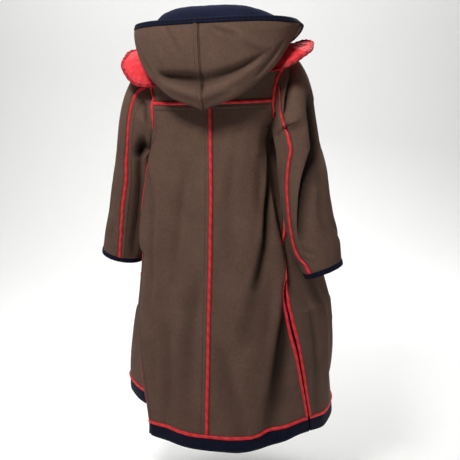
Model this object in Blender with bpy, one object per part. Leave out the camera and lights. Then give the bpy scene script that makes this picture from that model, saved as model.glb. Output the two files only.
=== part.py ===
"""A worn duffle coat in melton wool, kept hollow in the pose in which it is worn.

Metres, +Z up. The coat's front faces -Y and its left side is +X. The origin is at the base of the
neck, in the middle between the shoulders, where the coat is held up. Every cloth piece is a wall
a few millimetres thick, worked out from short tables of sections and folds.
"""

import math

import bmesh
import bpy
import numpy as np
from mathutils import Matrix, Vector

# Wall and trim sizes
WOOL = 0.0030
SATIN = 0.0020
LINING = 0.0020
GAP = 0.0003
LIFT = 0.0004
CORD_WIDTH = 0.0070
CORD_HEIGHT = 0.0026
BINDING_HEIGHT = 0.0018
BAND_DROP = 0.0410
VENT_OPEN_RIGHT = 0.0090
UNDERLAP_WIDTH = 0.024
UNDERLAP_THICKNESS = 0.0015
UNDERLAP_IN = 0.0008
VENT_LAP_LEFT = 0.0100
VENT_CURL = 0.0045
VENT_CURL_WIDTH = 0.014
LAP = 0.0300
LAP_LIFT = 0.0042
LAP_BEND = 0.016
LAP_BEND_OUT = 0.020
FRONT_RISE = 0.080
FRONT_RISE_FROM = 0.75
FRONT_RISE_ANGLE = math.radians(70.0)
EPSILON = 0.0002
SMOOTH_ANGLE = math.radians(40.0)

# The body, ring by ring down from the neck seam. "down" is measured along the cloth.
BODY_COLUMNS = ("down", "height", "half_width", "back", "front", "square", "seam_left", "seam_right")
BODY = (
    (0.000, 0.000, 0.084, 0.078, 0.080, 2.0, 70.0, 70.0),
    (0.030, -0.010, 0.112, 0.090, 0.092, 2.1, 70.0, 70.0),
    (0.090, -0.034, 0.160, 0.104, 0.104, 2.3, 70.0, 70.0),
    (0.145, -0.066, 0.207, 0.112, 0.110, 2.5, 70.0, 70.0),
    (0.250, -0.172, 0.208, 0.122, 0.122, 2.6, 70.0, 91.0),
    (0.395, -0.310, 0.178, 0.134, 0.134, 2.4, 70.0, 91.0),
    (0.450, -0.363, 0.187, 0.140, 0.139, 2.4, 69.0, 92.0),
    (0.540, -0.450, 0.207, 0.154, 0.150, 2.3, 68.0, 87.0),
    (0.620, -0.530, 0.232, 0.171, 0.163, 2.2, 68.0, 76.0),
    (0.700, -0.610, 0.256, 0.188, 0.175, 2.2, 68.0, 59.0),
    (0.780, -0.688, 0.271, 0.206, 0.188, 2.1, 66.0, 51.5),
    (0.860, -0.765, 0.284, 0.225, 0.200, 2.1, 60.0, 49.2),
    (0.950, -0.852, 0.294, 0.245, 0.216, 2.0, 51.0, 50.5),
    (1.030, -0.930, 0.302, 0.263, 0.230, 2.0, 46.5, 52.5),
    (1.110, -1.009, 0.307, 0.282, 0.244, 2.0, 42.5, 54.7),
    (1.195, -1.093, 0.311, 0.300, 0.257, 2.0, 39.0, 57.2),
    (1.255, -1.153, 0.316, 0.307, 0.263, 2.0, 37.2, 58.2),
)
NECK_DIP = 0.072
NECK_DIP_FADE = 0.22

# The armhole's edge from the shoulder (0) to the underarm (8): angles of its back and its front edge
ARMHOLE_COLUMNS = ("step", "left_back", "left_front", "right_back", "right_front")
ARMHOLE = (
    (0, 90.0, 90.0, 90.0, 90.0),
    (1, 79.0, 99.0, 79.0, 99.5),
    (2, 68.0, 105.5, 65.0, 107.0),
    (3, 58.5, 108.0, 53.5, 111.0),
    (4, 53.0, 106.0, 50.5, 112.0),
    (5, 54.0, 100.0, 57.0, 110.0),
    (6, 58.5, 91.5, 70.0, 105.0),
    (7, 64.5, 81.0, 83.0, 98.0),
    (8, 70.0, 70.0, 91.0, 91.0),
)

# The hem rises and falls a little round the coat
HEM_RISE_COLUMNS = ("angle", "half_angle", "rise")
HEM_RISES = (
    (0.0, 60.0, 0.010),
    (-52.0, 14.0, 0.020),
)
HEM_RISE_FROM = 0.75
ARMHOLE_TOP = 0.145
ARMHOLE_LOW = 0.395
SHOULDER_ANGLE = 90.0
ARMHOLE_STEPS = 8
YOKE_STEP = 4
ARMHOLE_CORD_STEPS = 5
VENT_TOP = 0.745
# How far the side vents' edges stand out (back, front) and over what length they come to do so
VENT_LEFT = (0.003, -0.013, 0.20)
VENT_RIGHT = (0.001, 0.0, 0.50)
VENT_LAP_FROM = 0.835
HEM_SEAM = 1.208
HEM_RADIUS = 0.30
HEM = HEM_SEAM + BAND_DROP

# Soft folds of the body. Angles run from the centre back, plus towards the left side.
FOLD_COLUMNS = ("angle_top", "angle_low", "down_from", "down_to", "half_angle", "rise")
FOLDS = (
    (-72.0, -72.0, 0.30, 0.88, 22.0, -0.050),
    (-98.0, -100.0, 0.66, 1.12, 16.0, 0.020),
    (-92.0, -92.0, 0.95, 1.60, 18.0, -0.008),
    (74.0, 74.0, 0.90, 1.60, 15.0, 0.018),
    (64.0, 64.0, 0.26, 0.72, 18.0, 0.036),
    (-44.0, -31.0, 0.42, 1.40, 8.0, -0.016),
    (-24.0, -14.0, 0.60, 1.45, 8.0, 0.008),
    (30.0, 24.0, 0.55, 1.45, 9.0, -0.009),
    (46.0, 50.0, 0.60, 1.40, 9.0, 0.009),
    (112.0, 108.0, 0.50, 1.40, 9.0, -0.010),
    (140.0, 138.0, 0.45, 1.45, 10.0, 0.010),
    (-116.0, -110.0, 0.60, 1.40, 9.0, -0.011),
    (-146.0, -140.0, 0.45, 1.45, 10.0, 0.009),
    (163.0, 160.0, 0.60, 1.45, 8.0, -0.007),
)
FOLD_FADE = 0.5

# The sleeves' rings from the upper arm to the cuff. The left arm is carried a little further out.
SLEEVE_COLUMNS = (
    "along", "height", "left_side", "left_back", "left_twist", "left_wide",
    "right_side", "right_back", "right_twist", "right_wide", "half_deep",
)
SLEEVE = (
    (0.30, -0.335, 0.265, 0.005, 24.0, 0.064, 0.229, 0.040, 40.0, 0.062, 0.080),
    (0.48, -0.418, 0.283, -0.004, 30.0, 0.068, 0.244, 0.058, 52.0, 0.066, 0.080),
    (0.66, -0.508, 0.304, -0.010, 30.0, 0.069, 0.259, 0.074, 58.0, 0.069, 0.079),
    (0.84, -0.595, 0.331, -0.012, 26.0, 0.067, 0.279, 0.085, 60.0, 0.069, 0.075),
    (0.92, -0.632, 0.340, -0.012, 25.0, 0.066, 0.290, 0.089, 60.0, 0.062, 0.073),
    (1.00, -0.665, 0.349, -0.012, 24.0, 0.065, 0.302, 0.092, 60.0, 0.054, 0.071),
)
SLEEVE_HEAD = 0.30
SLEEVE_CUT = 0.50
SLEEVE_LENGTH = 0.47
HEAD_FULLNESS_LEFT = 1.2
HEAD_FULLNESS_RIGHT = 0.72
SLEEVE_FOLD_COLUMNS = ("turn", "turn_drift", "along_from", "along_to", "half_turn", "rise")
SLEEVE_FOLDS = (
    (60.0, 20.0, 0.08, 0.75, 16.0, -0.008),
    (125.0, -10.0, 0.15, 0.80, 17.0, 0.006),
    (200.0, 25.0, 0.20, 0.95, 20.0, -0.008),
    (300.0, -25.0, 0.15, 0.90, 18.0, -0.007),
)
SEAM_TURN = 67.5
# How far the sleeve's back seam wanders round the arm, in degrees
DRIFT_COLUMNS = ("along", "left", "right")
DRIFT = (
    (0.00, 0.0, 0.0),
    (0.05, -8.0, 8.0),
    (0.11, -9.5, 16.0),
    (0.18, -9.5, 7.0),
    (0.25, -9.5, -9.0),
    (0.31, -10.5, -14.0),
    (0.37, -11.5, -9.5),
    (0.50, -10.5, -1.5),
    (0.64, -9.5, 1.0),
    (0.71, -5.5, 3.5),
    (0.80, 2.0, 6.0),
    (0.87, 6.5, 0.0),
    (0.93, 9.0, -12.0),
    (1.00, 13.0, -10.0),
)
UNDER_SEAM_TURN = 225.0
SEAM_REACH = 0.03
TWIST_TURN = math.radians(55.0)
TWIST_RUN = 0.40
# The way the sleeve's cloth leaves the armhole: sideways, back and down, more upright on top.
LEAVE_SIDE = 0.45
LEAVE_BACK = 0.22
LEAVE_DOWN = 0.85
LEAVE_TOP = 0.35
ARM_RADIUS = 0.07
CUFF_FROM = 0.955
SLEEVE_ROWS = (
    0.0, 0.02, 0.06, 0.11, 0.18, 0.25, 0.31, 0.37, 0.43, 0.50, 0.58, 0.66, 0.74, 0.82, 0.89, 0.955, 1.0,
)

# Shares of a panel's width at which its columns of points lie
BACK_SHARES = (0.0, 0.02, 0.12, 0.23, 0.34, 0.45, 0.56, 0.67, 0.78, 0.88, 0.94, 1.0)
FRONT_SHARES = (0.0, 0.18, 0.32, 0.46, 0.60, 0.74, 0.86, 0.94, 1.0)
LAP_SHARES = (1.0, -0.55, -1.08, -1.7)
UNDERLAP_SHARES = (0.9, -1.08, -1.7)

# The hood, from the face edge down its outside, round the tip and up its inside to the neck seam.
# "reach" runs from the neck (0) to the face edge (1), "drop" is a share of the pouch's depth and
# "stand" a share of the height to which the cloth stands up around the neck.
HOOD_COLUMNS = ("across", "reach", "drop", "stand")
HOOD = (
    (0.00, 1.00, 0.00, 0.00),
    (0.12, 1.04, 0.25, 0.00),
    (0.28, 1.02, 0.62, 0.00),
    (0.42, 0.95, 0.93, 0.00),
    (0.50, 0.88, 1.00, 0.00),
    (0.58, 0.80, 0.93, 0.00),
    (0.72, 0.70, 0.45, 0.25),
    (0.84, 0.52, 0.05, 0.85),
    (0.91, 0.28, 0.00, 1.00),
    (1.00, 0.02, 0.00, 0.05),
)
RIM_COLUMNS = ("turn", "side", "back", "height", "depth", "stand")
RIM = (
    (0.0, 0.000, 0.200, 0.022, 0.232, 0.048),
    (30.0, 0.118, 0.182, 0.022, 0.190, 0.048),
    (60.0, 0.206, 0.122, 0.018, 0.108, 0.041),
    (85.0, 0.230, 0.030, 0.010, 0.026, 0.032),
    (115.0, 0.205, -0.060, -0.018, 0.012, 0.028),
    (140.0, 0.130, -0.125, -0.058, 0.006, 0.018),
    (165.0, 0.050, -0.145, -0.085, 0.004, 0.012),
)
HOOD_ROWS = (
    0.0, 0.015, 0.035, 0.12, 0.20, 0.28, 0.35, 0.42, 0.46, 0.50,
    0.58, 0.65, 0.72, 0.78, 0.84, 0.88, 0.91, 0.95, 1.0,
)
HOOD_TURNS = (0.0, 9.0, 18.0, 28.0, 38.0, 49.0, 60.0, 72.0, 85.0, 100.0, 115.0, 132.0, 150.0, 165.0)
HOOD_LIFT = 0.004
HOOD_BINDING_ROWS = 3
HOOD_LINING_FROM = 10
HOOD_LEFT_SHARE = 0.965
HOOD_RIGHT_SHARE = 1.010

# The red shoulder flaps, from the neck out to their rounded rim.
FLAP_COLUMNS = ("turn", "side", "back", "height_left", "height_right")
FLAP = (
    (28.0, 0.092, 0.128, -0.118, -0.100),
    (45.0, 0.163, 0.112, -0.142, -0.112),
    (60.0, 0.226, 0.110, -0.134, -0.098),
    (76.0, 0.270, 0.078, -0.086, -0.066),
    (94.0, 0.272, 0.030, -0.052, -0.047),
    (112.0, 0.236, -0.020, -0.038, -0.034),
    (125.0, 0.180, -0.075, -0.052, -0.050),
)
FLAP_NEAR_DOWN = 0.060
FLAP_NEAR_LIFT = 0.012
FLAP_FAR_DOWN = 0.125
FLAP_FAR_LIFT = 0.018
FLAP_NECK_DOWN = 0.012
FLAP_WAVE = 0.004
FLAP_WAVES_PER_TURN = 11.0
FLAP_ROWS = (0.0, 0.15, 0.32, 0.48, 0.62, 0.75, 0.88, 1.0)
FLAP_STEPS = 13

# Toggles and loops on the front
TOGGLE_DOWNS = (0.34, 0.52, 0.70)
TOGGLE_LENGTH = 0.052
TOGGLE_RADIUS = 0.0075
TOGGLE_WAIST = 0.0055
TOGGLE_ASIDE = 0.003
TOGGLE_SINK = 0.0004
TOGGLE_SIDES = 10
LOOP_REACH = 0.040
LOOP_SPREAD = 0.011
LOOP_RADIUS = 0.0022

WOOL_BROWN = (0.105, 0.060, 0.043)
PIPING_RED = (0.640, 0.030, 0.040)
SATIN_RED = (0.700, 0.040, 0.050)
TRIM_NAVY = (0.010, 0.014, 0.045)
LINING_NAVY = (0.022, 0.026, 0.085)
TOGGLE_HORN = (0.230, 0.130, 0.060)


def column(table, columns, name):
    """One named column of a short table."""
    return np.array([row[columns.index(name)] for row in table], dtype=float)


def smooth_read(table, columns, key, name, place):
    """Read a column at any place between the rows, as a cubic that doesn't overshoot them."""
    xs = column(table, columns, key)
    ys = column(table, columns, name)
    place = np.clip(np.asarray(place, dtype=float), xs[0], xs[-1])
    secant = np.diff(ys) / np.diff(xs)
    slope = np.concatenate([secant[:1], (secant[:-1] + secant[1:]) / 2, secant[-1:]])
    turning = np.concatenate([[False], secant[:-1] * secant[1:] <= 0, [False]])
    slope[turning] = 0.0
    row = np.clip(np.searchsorted(xs, place, side="right") - 1, 0, len(xs) - 2)
    step = xs[row + 1] - xs[row]
    t = (place - xs[row]) / step
    start = (1 + 2 * t) * (1 - t) ** 2 * ys[row] + t * (1 - t) ** 2 * step * slope[row]
    end = t * t * (3 - 2 * t) * ys[row + 1] + t * t * (t - 1) * step * slope[row + 1]
    return start + end


def ease(value):
    """A soft step from 0 to 1."""
    value = np.clip(value, 0.0, 1.0)
    return value * value * (3 - 2 * value)


def hump(value):
    """A soft bell, 1 in the middle and 0 past both ends."""
    return np.exp(-value * value)


def unit(vectors):
    """Vectors of length one."""
    return vectors / np.maximum(np.linalg.norm(vectors, axis=-1, keepdims=True), 1e-12)


def folds_at(table, columns, angle, place, full_turn):
    """Sum the soft troughs and ridges of a fold table at an angle (degrees) and a place along."""
    total = np.zeros(np.broadcast(angle, place).shape)
    for row in table:
        first, drift, begin, end, half, rise = row
        share = np.clip((place - begin) / (end - begin), 0.0, 1.0)
        last = first + drift if columns is SLEEVE_FOLD_COLUMNS else drift
        centre = first + (last - first) * share
        away = (angle - centre + full_turn / 2) % full_turn - full_turn / 2
        fade = np.sin(math.pi * share) ** FOLD_FADE * (place > begin) * (place < end)
        total = total + rise * fade * hump(away / half)
    return total


def body_point(angle, down, flare=0.0):
    """The coat's outer surface. angle is in radians from the centre back, plus to the left side."""
    angle, down = np.broadcast_arrays(np.asarray(angle, dtype=float), np.asarray(down, dtype=float))
    wide = smooth_read(BODY, BODY_COLUMNS, "down", "half_width", down)
    back = smooth_read(BODY, BODY_COLUMNS, "down", "back", down)
    front = smooth_read(BODY, BODY_COLUMNS, "down", "front", down)
    square = smooth_read(BODY, BODY_COLUMNS, "down", "square", down)
    height = smooth_read(BODY, BODY_COLUMNS, "down", "height", down)
    sine = np.sin(angle)
    cosine = np.cos(angle)
    spread = (np.abs(sine) ** square + np.abs(cosine) ** square) ** (-1.0 / square)
    out = folds_at(FOLDS, FOLD_COLUMNS, np.degrees(angle), down, 360.0) + flare
    deep = np.where(cosine > 0, back, front)
    x = (wide + out) * sine * spread
    y = (deep + out) * cosine * spread
    dip = NECK_DIP * (1 - ease(down / NECK_DIP_FADE)) * ((1 - cosine) / 2) ** 1.5
    low = ease((down - HEM_RISE_FROM) / (HEM - HEM_RISE_FROM))
    for middle, half, rise in HEM_RISES:
        away = (np.degrees(angle) - middle + 180.0) % 360.0 - 180.0
        height = height + rise * low * hump(away / half)
    return np.stack([x, y, height - dip], axis=-1)


def surface_normal(surface, first, second, reach=EPSILON):
    """Unit normals of a surface of two parameters, from small steps to both sides."""
    along = surface(first + reach, second) - surface(first - reach, second)
    across = surface(first, second + EPSILON) - surface(first, second - EPSILON)
    return unit(np.cross(along, across))


def layer(surface, first, second, height):
    """Points of a surface moved out along its normals by a height."""
    normal = surface_normal(surface, first, second)
    return surface(first, second) + normal * np.asarray(height)[..., None]


def material(name, colour, roughness):
    """A plain material of one colour."""
    made = bpy.data.materials.get(name)
    if made is None:
        made = bpy.data.materials.new(name)
        made.use_nodes = True
        shader = made.node_tree.nodes["Principled BSDF"]
        shader.inputs["Base Color"].default_value = (*colour, 1.0)
        shader.inputs["Roughness"].default_value = roughness
        shader.inputs["Metallic"].default_value = 0.0
    return made


def add_mesh(name, points, faces, look):
    """Make one object from points and faces, with its faces turned out and its round parts smooth."""
    mesh = bpy.data.meshes.new(name)
    mesh.from_pydata([tuple(p) for p in points], [], faces)
    work = bmesh.new()
    work.from_mesh(mesh)
    bmesh.ops.recalc_face_normals(work, faces=work.faces)
    work.to_mesh(mesh)
    work.free()
    mesh.shade_smooth()
    mesh.set_sharp_from_angle(angle=SMOOTH_ANGLE)
    mesh.materials.append(look)
    made = bpy.data.objects.new(name, mesh)
    bpy.context.collection.objects.link(made)
    made.parent = coat
    return made


def grid_faces(rows, columns, start, ring):
    """Triangles over a grid of points, closed round its columns when ring is true."""
    faces = []
    last = columns if ring else columns - 1
    for row in range(rows - 1):
        for col in range(last):
            nxt = (col + 1) % columns
            a = start + row * columns + col
            b = start + row * columns + nxt
            c = start + (row + 1) * columns + nxt
            d = start + (row + 1) * columns + col
            faces.append((a, b, c))
            faces.append((a, c, d))
    return faces


def shell(name, outer, inner, look, ring=False):
    """Close an outer and an inner grid of points into one solid wall."""
    rows, columns = outer.shape[:2]
    count = rows * columns
    points = np.concatenate([outer.reshape(-1, 3), inner.reshape(-1, 3)])
    faces = grid_faces(rows, columns, 0, ring)
    faces += [(c, b, a) for a, b, c in grid_faces(rows, columns, count, ring)]
    border = []
    last = columns if ring else columns - 1
    for col in range(last):
        nxt = (col + 1) % columns
        border.append((col, nxt))
        border.append(((rows - 1) * columns + nxt, (rows - 1) * columns + col))
    if not ring:
        for row in range(rows - 1):
            border.append(((row + 1) * columns, row * columns))
            border.append((row * columns + columns - 1, (row + 1) * columns + columns - 1))
    for a, b in border:
        if a < b:
            faces.append((b, a, a + count))
            faces.append((b, a + count, b + count))
        else:
            faces.append((b, a, b + count))
            faces.append((a, a + count, b + count))
    return add_mesh(name, points, faces, look)


def cord(name, base, normal, height, look, ring=False):
    """A low rounded cord on a strip of points. Its columns run across the cord."""
    columns = base.shape[1]
    share = np.linspace(-1, 1, columns)
    rise = height * np.sqrt(np.maximum(1 - (share * 0.92) ** 2, 0.0))
    outer = base + normal * (LIFT + rise)[None, :, None]
    inner = base + normal * LIFT
    if ring:
        outer = outer.transpose(1, 0, 2)
        inner = inner.transpose(1, 0, 2)
    return shell(name, outer, inner, look, ring)


# Rings of the body that every piece shares
arm_turn = np.arange(ARMHOLE_STEPS + 1) * math.pi / ARMHOLE_STEPS
arm_share = (1 - np.cos(arm_turn)) / 2
arm_down = ARMHOLE_TOP + (ARMHOLE_LOW - ARMHOLE_TOP) * arm_share
YOKE_SEAM = float(arm_down[YOKE_STEP])


def armhole_angles(front, side):
    """Angles of the armhole's back or front edge at its even steps."""
    hand = "left_" if side > 0 else "right_"
    return np.radians(column(ARMHOLE, ARMHOLE_COLUMNS, hand + ("front" if front else "back")))


def seam_angle(down, side):
    """Angle of a side seam below the armhole, measured from the centre back."""
    name = "seam_left" if side > 0 else "seam_right"
    return np.radians(smooth_read(BODY, BODY_COLUMNS, "down", name, down))


def edge_angle(down, front, side):
    """Angle at which a back or front panel ends: shoulder, armhole edge, then side seam."""
    inside = np.interp(down, arm_down, armhole_angles(front, side))
    above = math.radians(SHOULDER_ANGLE)
    below = seam_angle(down, side)
    return np.where(down < ARMHOLE_TOP, above, np.where(down > ARMHOLE_LOW, below, inside))


def pace(angle, down):
    """Metres of cloth for each radian round the body."""
    step = body_point(angle + EPSILON, down) - body_point(angle - EPSILON, down)
    return np.linalg.norm(step, axis=-1) / (2 * EPSILON)


def vent_open(down, side):
    """Half the gap of a side vent. The right vent opens, the left one's back laps over its front."""
    if side > 0:
        return GAP / 2 - (VENT_LAP_LEFT + GAP) / 2 * ease((down - VENT_LAP_FROM) / 0.10)
    return GAP / 2 + (VENT_OPEN_RIGHT - GAP) / 2 * ease((down - VENT_TOP) / 0.10)


def body_rows(start, end, extra):
    """Heights of the rings between two seams."""
    rows = [start, end]
    rows += [d for d in arm_down if start < d < end]
    rows += [d for d in extra if start < d < end]
    named = [row[0] for row in BODY if start < row[0] < end]
    rows += [d for d in named if d < ARMHOLE_TOP or d > ARMHOLE_LOW]
    rows = sorted(rows)
    kept = [rows[0]]
    for value in rows[1:]:
        if value - kept[-1] > 0.0008:
            kept.append(value)
    kept[-1] = end
    return np.array(kept)


SIDE_CORD_TOP = ARMHOLE_LOW + 0.020
VENT_CORD_TOP = VENT_TOP + 0.085
CORD_END = HEM_SEAM - CORD_WIDTH / 2 - 2 * GAP
MORE_ROWS = (
    SIDE_CORD_TOP, 0.495, 0.660, 0.740, VENT_CORD_TOP, 0.900, CORD_END,
)
# Each front's cloth is three solids, level with the yoke's seam and just above the vents
FRONT_PARTS_COLUMNS = ("name", "from", "to")
FRONT_PARTS = (
    ("front_shoulder_", 0.0, YOKE_SEAM),
    ("front_", YOKE_SEAM, 0.740),
    ("front_skirt_", 0.740, HEM_SEAM),
)
UNDERLAP_TOP = VENT_TOP + 0.035
BAND_ROWS = (HEM_SEAM + GAP / 2, HEM_SEAM + CORD_WIDTH / 2, HEM)
CORD_ROWS = (YOKE_SEAM - CORD_WIDTH / 2, YOKE_SEAM + CORD_WIDTH / 2, HEM_SEAM - CORD_WIDTH / 2)


def side_columns(down, side, front, shares):
    """Angles of a panel's columns: from the centre seam to its side edge, as rows by columns."""
    edge = edge_angle(down, front, side)
    turn = np.array(shares)
    if front:
        far = math.pi
        angles = far + (edge[:, None] - far) * turn[None, :]
    else:
        angles = edge[:, None] * turn[None, :]
    grid_down = np.repeat(down[:, None], len(shares), axis=1)
    step = pace(angles * side, grid_down)
    sign = 1.0 if front else -1.0
    half = np.where(down > ARMHOLE_LOW, vent_open(down, side), GAP / 2)
    angles[:, -1] = edge + sign * half / step[:, -1]
    angles[:, -2] = edge + sign * (half + CORD_WIDTH) / step[:, -2]
    return angles, grid_down, step


def both_sides(rows, shares, trim):
    """Columns of a back piece that runs from side to side. trim counts the edge columns left off."""
    last = len(shares) - trim + 1
    left, left_down, step = side_columns(rows, 1, False, shares)
    right, right_down, step = side_columns(rows, -1, False, shares)
    angles = np.concatenate([-right[:, last - 1:0:-1], left[:, :last]], axis=1)
    return angles, np.repeat(rows[:, None], angles.shape[1], axis=1)


def flare_at(angle, down, front):
    """How far a vent's edge stands out: the back panel's lies outside the front panel's."""
    turned = (angle + math.pi) % (2 * math.pi) - math.pi
    seam = np.where(turned > 0, seam_angle(down, 1), seam_angle(down, -1))
    near = hump((np.abs(turned) - seam) / math.radians(13.0))
    left, right = (vent[1 if front else 0] for vent in (VENT_LEFT, VENT_RIGHT))
    length = np.where(turned > 0, VENT_LEFT[2], VENT_RIGHT[2])
    low = ease((down - VENT_TOP) / length)
    flare = np.where(turned > 0, left, right) * near * low
    if front:
        return flare
    edge = (seam - np.abs(turned)) * HEM_RADIUS + VENT_LAP_LEFT / 2
    curl = VENT_CURL * ease(1 - edge / VENT_CURL_WIDTH) * ease((down - VENT_LAP_FROM) / 0.10)
    return flare - np.where(turned > 0, curl, 0.0)


def back_surface(angle, down):
    """The body's surface with the back panels' vent flare."""
    return body_point(angle, down, flare_at(angle, down, False))


def front_surface(angle, down):
    """The body's surface with the front panels' vent flare."""
    return body_point(angle, down, flare_at(angle, down, True))


def ridden_up(down, share):
    """Where a point of the left front comes to lie when its hem rides up by a share of the whole."""
    return down - FRONT_RISE * share * ease((down - FRONT_RISE_FROM) / (HEM - FRONT_RISE_FROM))


def left_front_surface(angle, down):
    """The left front's surface: it laps over the right front, and its hem rides up at the side."""
    angle = np.asarray(angle, dtype=float)
    down = ridden_up(down, ease((math.pi - angle) / (math.pi - FRONT_RISE_ANGLE)))
    away = (angle - math.pi) * pace(angle, down)
    lift = LAP_LIFT * ease((away + LAP + LAP_BEND_OUT) / LAP_BEND)
    return front_surface(angle, down) + surface_normal(front_surface, angle, down) * lift[..., None]


def build_back(wool, red, navy):
    """The yoke, the two back halves, their piping and the back of the hem band."""
    shares = BACK_SHARES
    low = body_rows(YOKE_SEAM + GAP / 2, HEM_SEAM - GAP / 2, CORD_ROWS + MORE_ROWS)
    for side, name in ((1, "left"), (-1, "right")):
        angles, grid_down, step = side_columns(low, side, False, shares)
        angles[:, 0] = GAP / 2 / step[:, 0]
        angles[:, 1] = CORD_WIDTH / 2 / step[:, 1]
        outer = layer(back_surface, angles * side, grid_down, np.zeros(angles.shape))
        inner = layer(back_surface, angles * side, grid_down, np.full(angles.shape, -WOOL))
        shell("back_" + name, outer, inner, wool)
    top = body_rows(0.0, YOKE_SEAM - GAP / 2, CORD_ROWS)
    angles, grid_down = both_sides(top, shares, 1)
    outer = back_surface(angles, grid_down)
    inner = layer(back_surface, angles, grid_down, np.full(angles.shape, -WOOL))
    shell("back_yoke", outer, inner, wool)
    cord_rows = body_rows(low[1], CORD_END, CORD_ROWS + MORE_ROWS)
    strip_down(red, "piping_centre_back", 0.0, cord_rows, back_surface)
    angles, grid_down = both_sides(np.array(BAND_ROWS), shares, 1)
    outer = back_surface(angles, grid_down)
    inner = layer(back_surface, angles, grid_down, np.full(angles.shape, -WOOL))
    shell("hem_band_back", outer, inner, navy)
    rim = np.linspace(HEM_SEAM - CORD_WIDTH / 2, HEM_SEAM + CORD_WIDTH / 2, 4)
    angles, grid_down = both_sides(rim, shares, 2)
    strip_across(red, "piping_hem_back", angles, grid_down, back_surface)
    rim = np.linspace(YOKE_SEAM - CORD_WIDTH / 2, YOKE_SEAM + CORD_WIDTH / 2, 4)
    angles, grid_down = both_sides(rim, shares, 2)
    strip_across(red, "piping_yoke", angles, grid_down, back_surface)


def strip_down(look, name, angle, rows, surface, offset=0.0):
    """A cord that runs down a seam of the body, made from the seam's points."""
    first = np.repeat((np.zeros(rows.shape) + angle)[:, None], 4, axis=1)
    grid_down = np.repeat(rows[:, None], 4, axis=1)
    across = np.linspace(-CORD_WIDTH / 2, CORD_WIDTH / 2, 4) + offset
    turned = first + across[None, :] / pace(first, grid_down)
    base = surface(turned, grid_down)
    normal = surface_normal(surface, turned, grid_down)
    return cord(name, base + normal * LIFT, normal, CORD_HEIGHT, look)


def strip_across(look, name, angles, grid_down, surface):
    """A cord that runs round the body along a seam, made from the seam's points."""
    base = surface(angles, grid_down).transpose(1, 0, 2)
    normal = surface_normal(surface, angles, grid_down).transpose(1, 0, 2)
    return cord(name, base, normal, CORD_HEIGHT, look)


def front_angles(rows, side):
    """Angles of a front's columns, with the ones that run past the middle for the lap."""
    level = ridden_up(rows, 1.0) if side > 0 else rows
    angles, grid_down, step = side_columns(level, side, True, FRONT_SHARES)
    lap = (LAP / step[:, 0])[:, None]
    shares = LAP_SHARES if side > 0 else UNDERLAP_SHARES
    angles = np.concatenate([math.pi + lap * np.array(shares)[None, :], angles[:, 1:]], axis=1)
    return angles, np.repeat(rows[:, None], angles.shape[1], axis=1)


def build_front(wool, red, navy):
    """The two fronts, the left lapped over the right, with their hem bands and hem piping."""
    sets = [("hem_band_front_", np.array(BAND_ROWS), navy)]
    for piece, begin, end in FRONT_PARTS:
        begin = begin + (GAP / 2 if begin > 0 else 0.0)
        sets.append((piece, body_rows(begin, end - GAP / 2, CORD_ROWS[2:] + MORE_ROWS), wool))
    rim = np.linspace(HEM_SEAM - CORD_WIDTH / 2, HEM_SEAM + CORD_WIDTH / 2, 4)
    for side, name, surface in ((1, "left", left_front_surface), (-1, "right", front_surface)):
        for piece, row_set, look in sets:
            angles, grid_down = front_angles(row_set, side)
            outer = surface(angles * side, grid_down)
            inner = layer(surface, angles * side, grid_down, np.full(angles.shape, -WOOL))
            shell(piece + name, outer, inner, look)
        angles, grid_down = front_angles(rim, side)
        shown = slice(0 if side > 0 else 2, -1)
        strip_across(red, "piping_hem_front_" + name, (angles * side)[:, shown], grid_down[:, shown], surface)


def build_underlap(navy):
    """A navy strip behind the right vent's slit, on the inside of its two edges."""
    rows = body_rows(UNDERLAP_TOP, HEM, MORE_ROWS)
    grid_down = np.repeat(rows[:, None], 2, axis=1)
    seam = -seam_angle(grid_down, -1)
    across = np.array([-1, 1]) * UNDERLAP_WIDTH / 2
    angles = seam + across[None, :] / pace(seam, grid_down)
    depth = WOOL + UNDERLAP_IN
    outer = layer(front_surface, angles, grid_down, np.full(angles.shape, -depth))
    inner = layer(front_surface, angles, grid_down, np.full(angles.shape, -depth - UNDERLAP_THICKNESS))
    shell("vent_underlap_right", outer, inner, navy)


def build_sides(red):
    """Piping down the side seams and down both edges of the side vents."""
    for side, name in ((1, "left"), (-1, "right")):
        rows = body_rows(SIDE_CORD_TOP, CORD_END, CORD_ROWS[2:] + MORE_ROWS)
        half = vent_open(rows, side) + CORD_WIDTH / 2 * ease((rows - VENT_TOP) / 0.10)
        seam = seam_angle(rows, side)
        angle = (seam - half / pace(seam * side, rows)) * side
        strip_down(red, "piping_side_" + name, angle, rows, back_surface)
        rows = body_rows(VENT_CORD_TOP, CORD_END, CORD_ROWS[2:] + MORE_ROWS)
        level = ridden_up(rows, 1.0) if side > 0 else rows
        half = vent_open(level, side) + CORD_WIDTH / 2
        seam = seam_angle(level, side)
        angle = (seam + half / pace(seam * side, level)) * side
        surface = left_front_surface if side > 0 else front_surface
        strip_down(red, "piping_vent_" + name, angle, rows, surface)


def armhole_point(turn, side, inset=0.0):
    """Points of the armhole edge. turn runs from the shoulder (0) round the back to the underarm."""
    turn = np.asarray(turn, dtype=float) % (2 * math.pi)
    share = np.where(turn <= math.pi, turn, 2 * math.pi - turn) / math.pi * ARMHOLE_STEPS
    step = np.arange(ARMHOLE_STEPS + 1)
    down = np.interp(share, step, arm_down)
    back = armhole_angles(False, side)
    front = armhole_angles(True, side)
    angle = np.where(turn <= math.pi, np.interp(share, step, back), np.interp(share, step, front))
    centre_down = (ARMHOLE_TOP + ARMHOLE_LOW) / 2
    centre_angle = (back[YOKE_STEP] + front[YOKE_STEP]) / 2
    point = body_point(angle * side, down)
    nearer = body_point((angle + (centre_angle - angle) * 0.02) * side, down + (centre_down - down) * 0.02)
    inward = unit(nearer - point)
    normal = surface_normal(body_point, angle * side, down)
    return point - inward * inset, inward, normal


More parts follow.
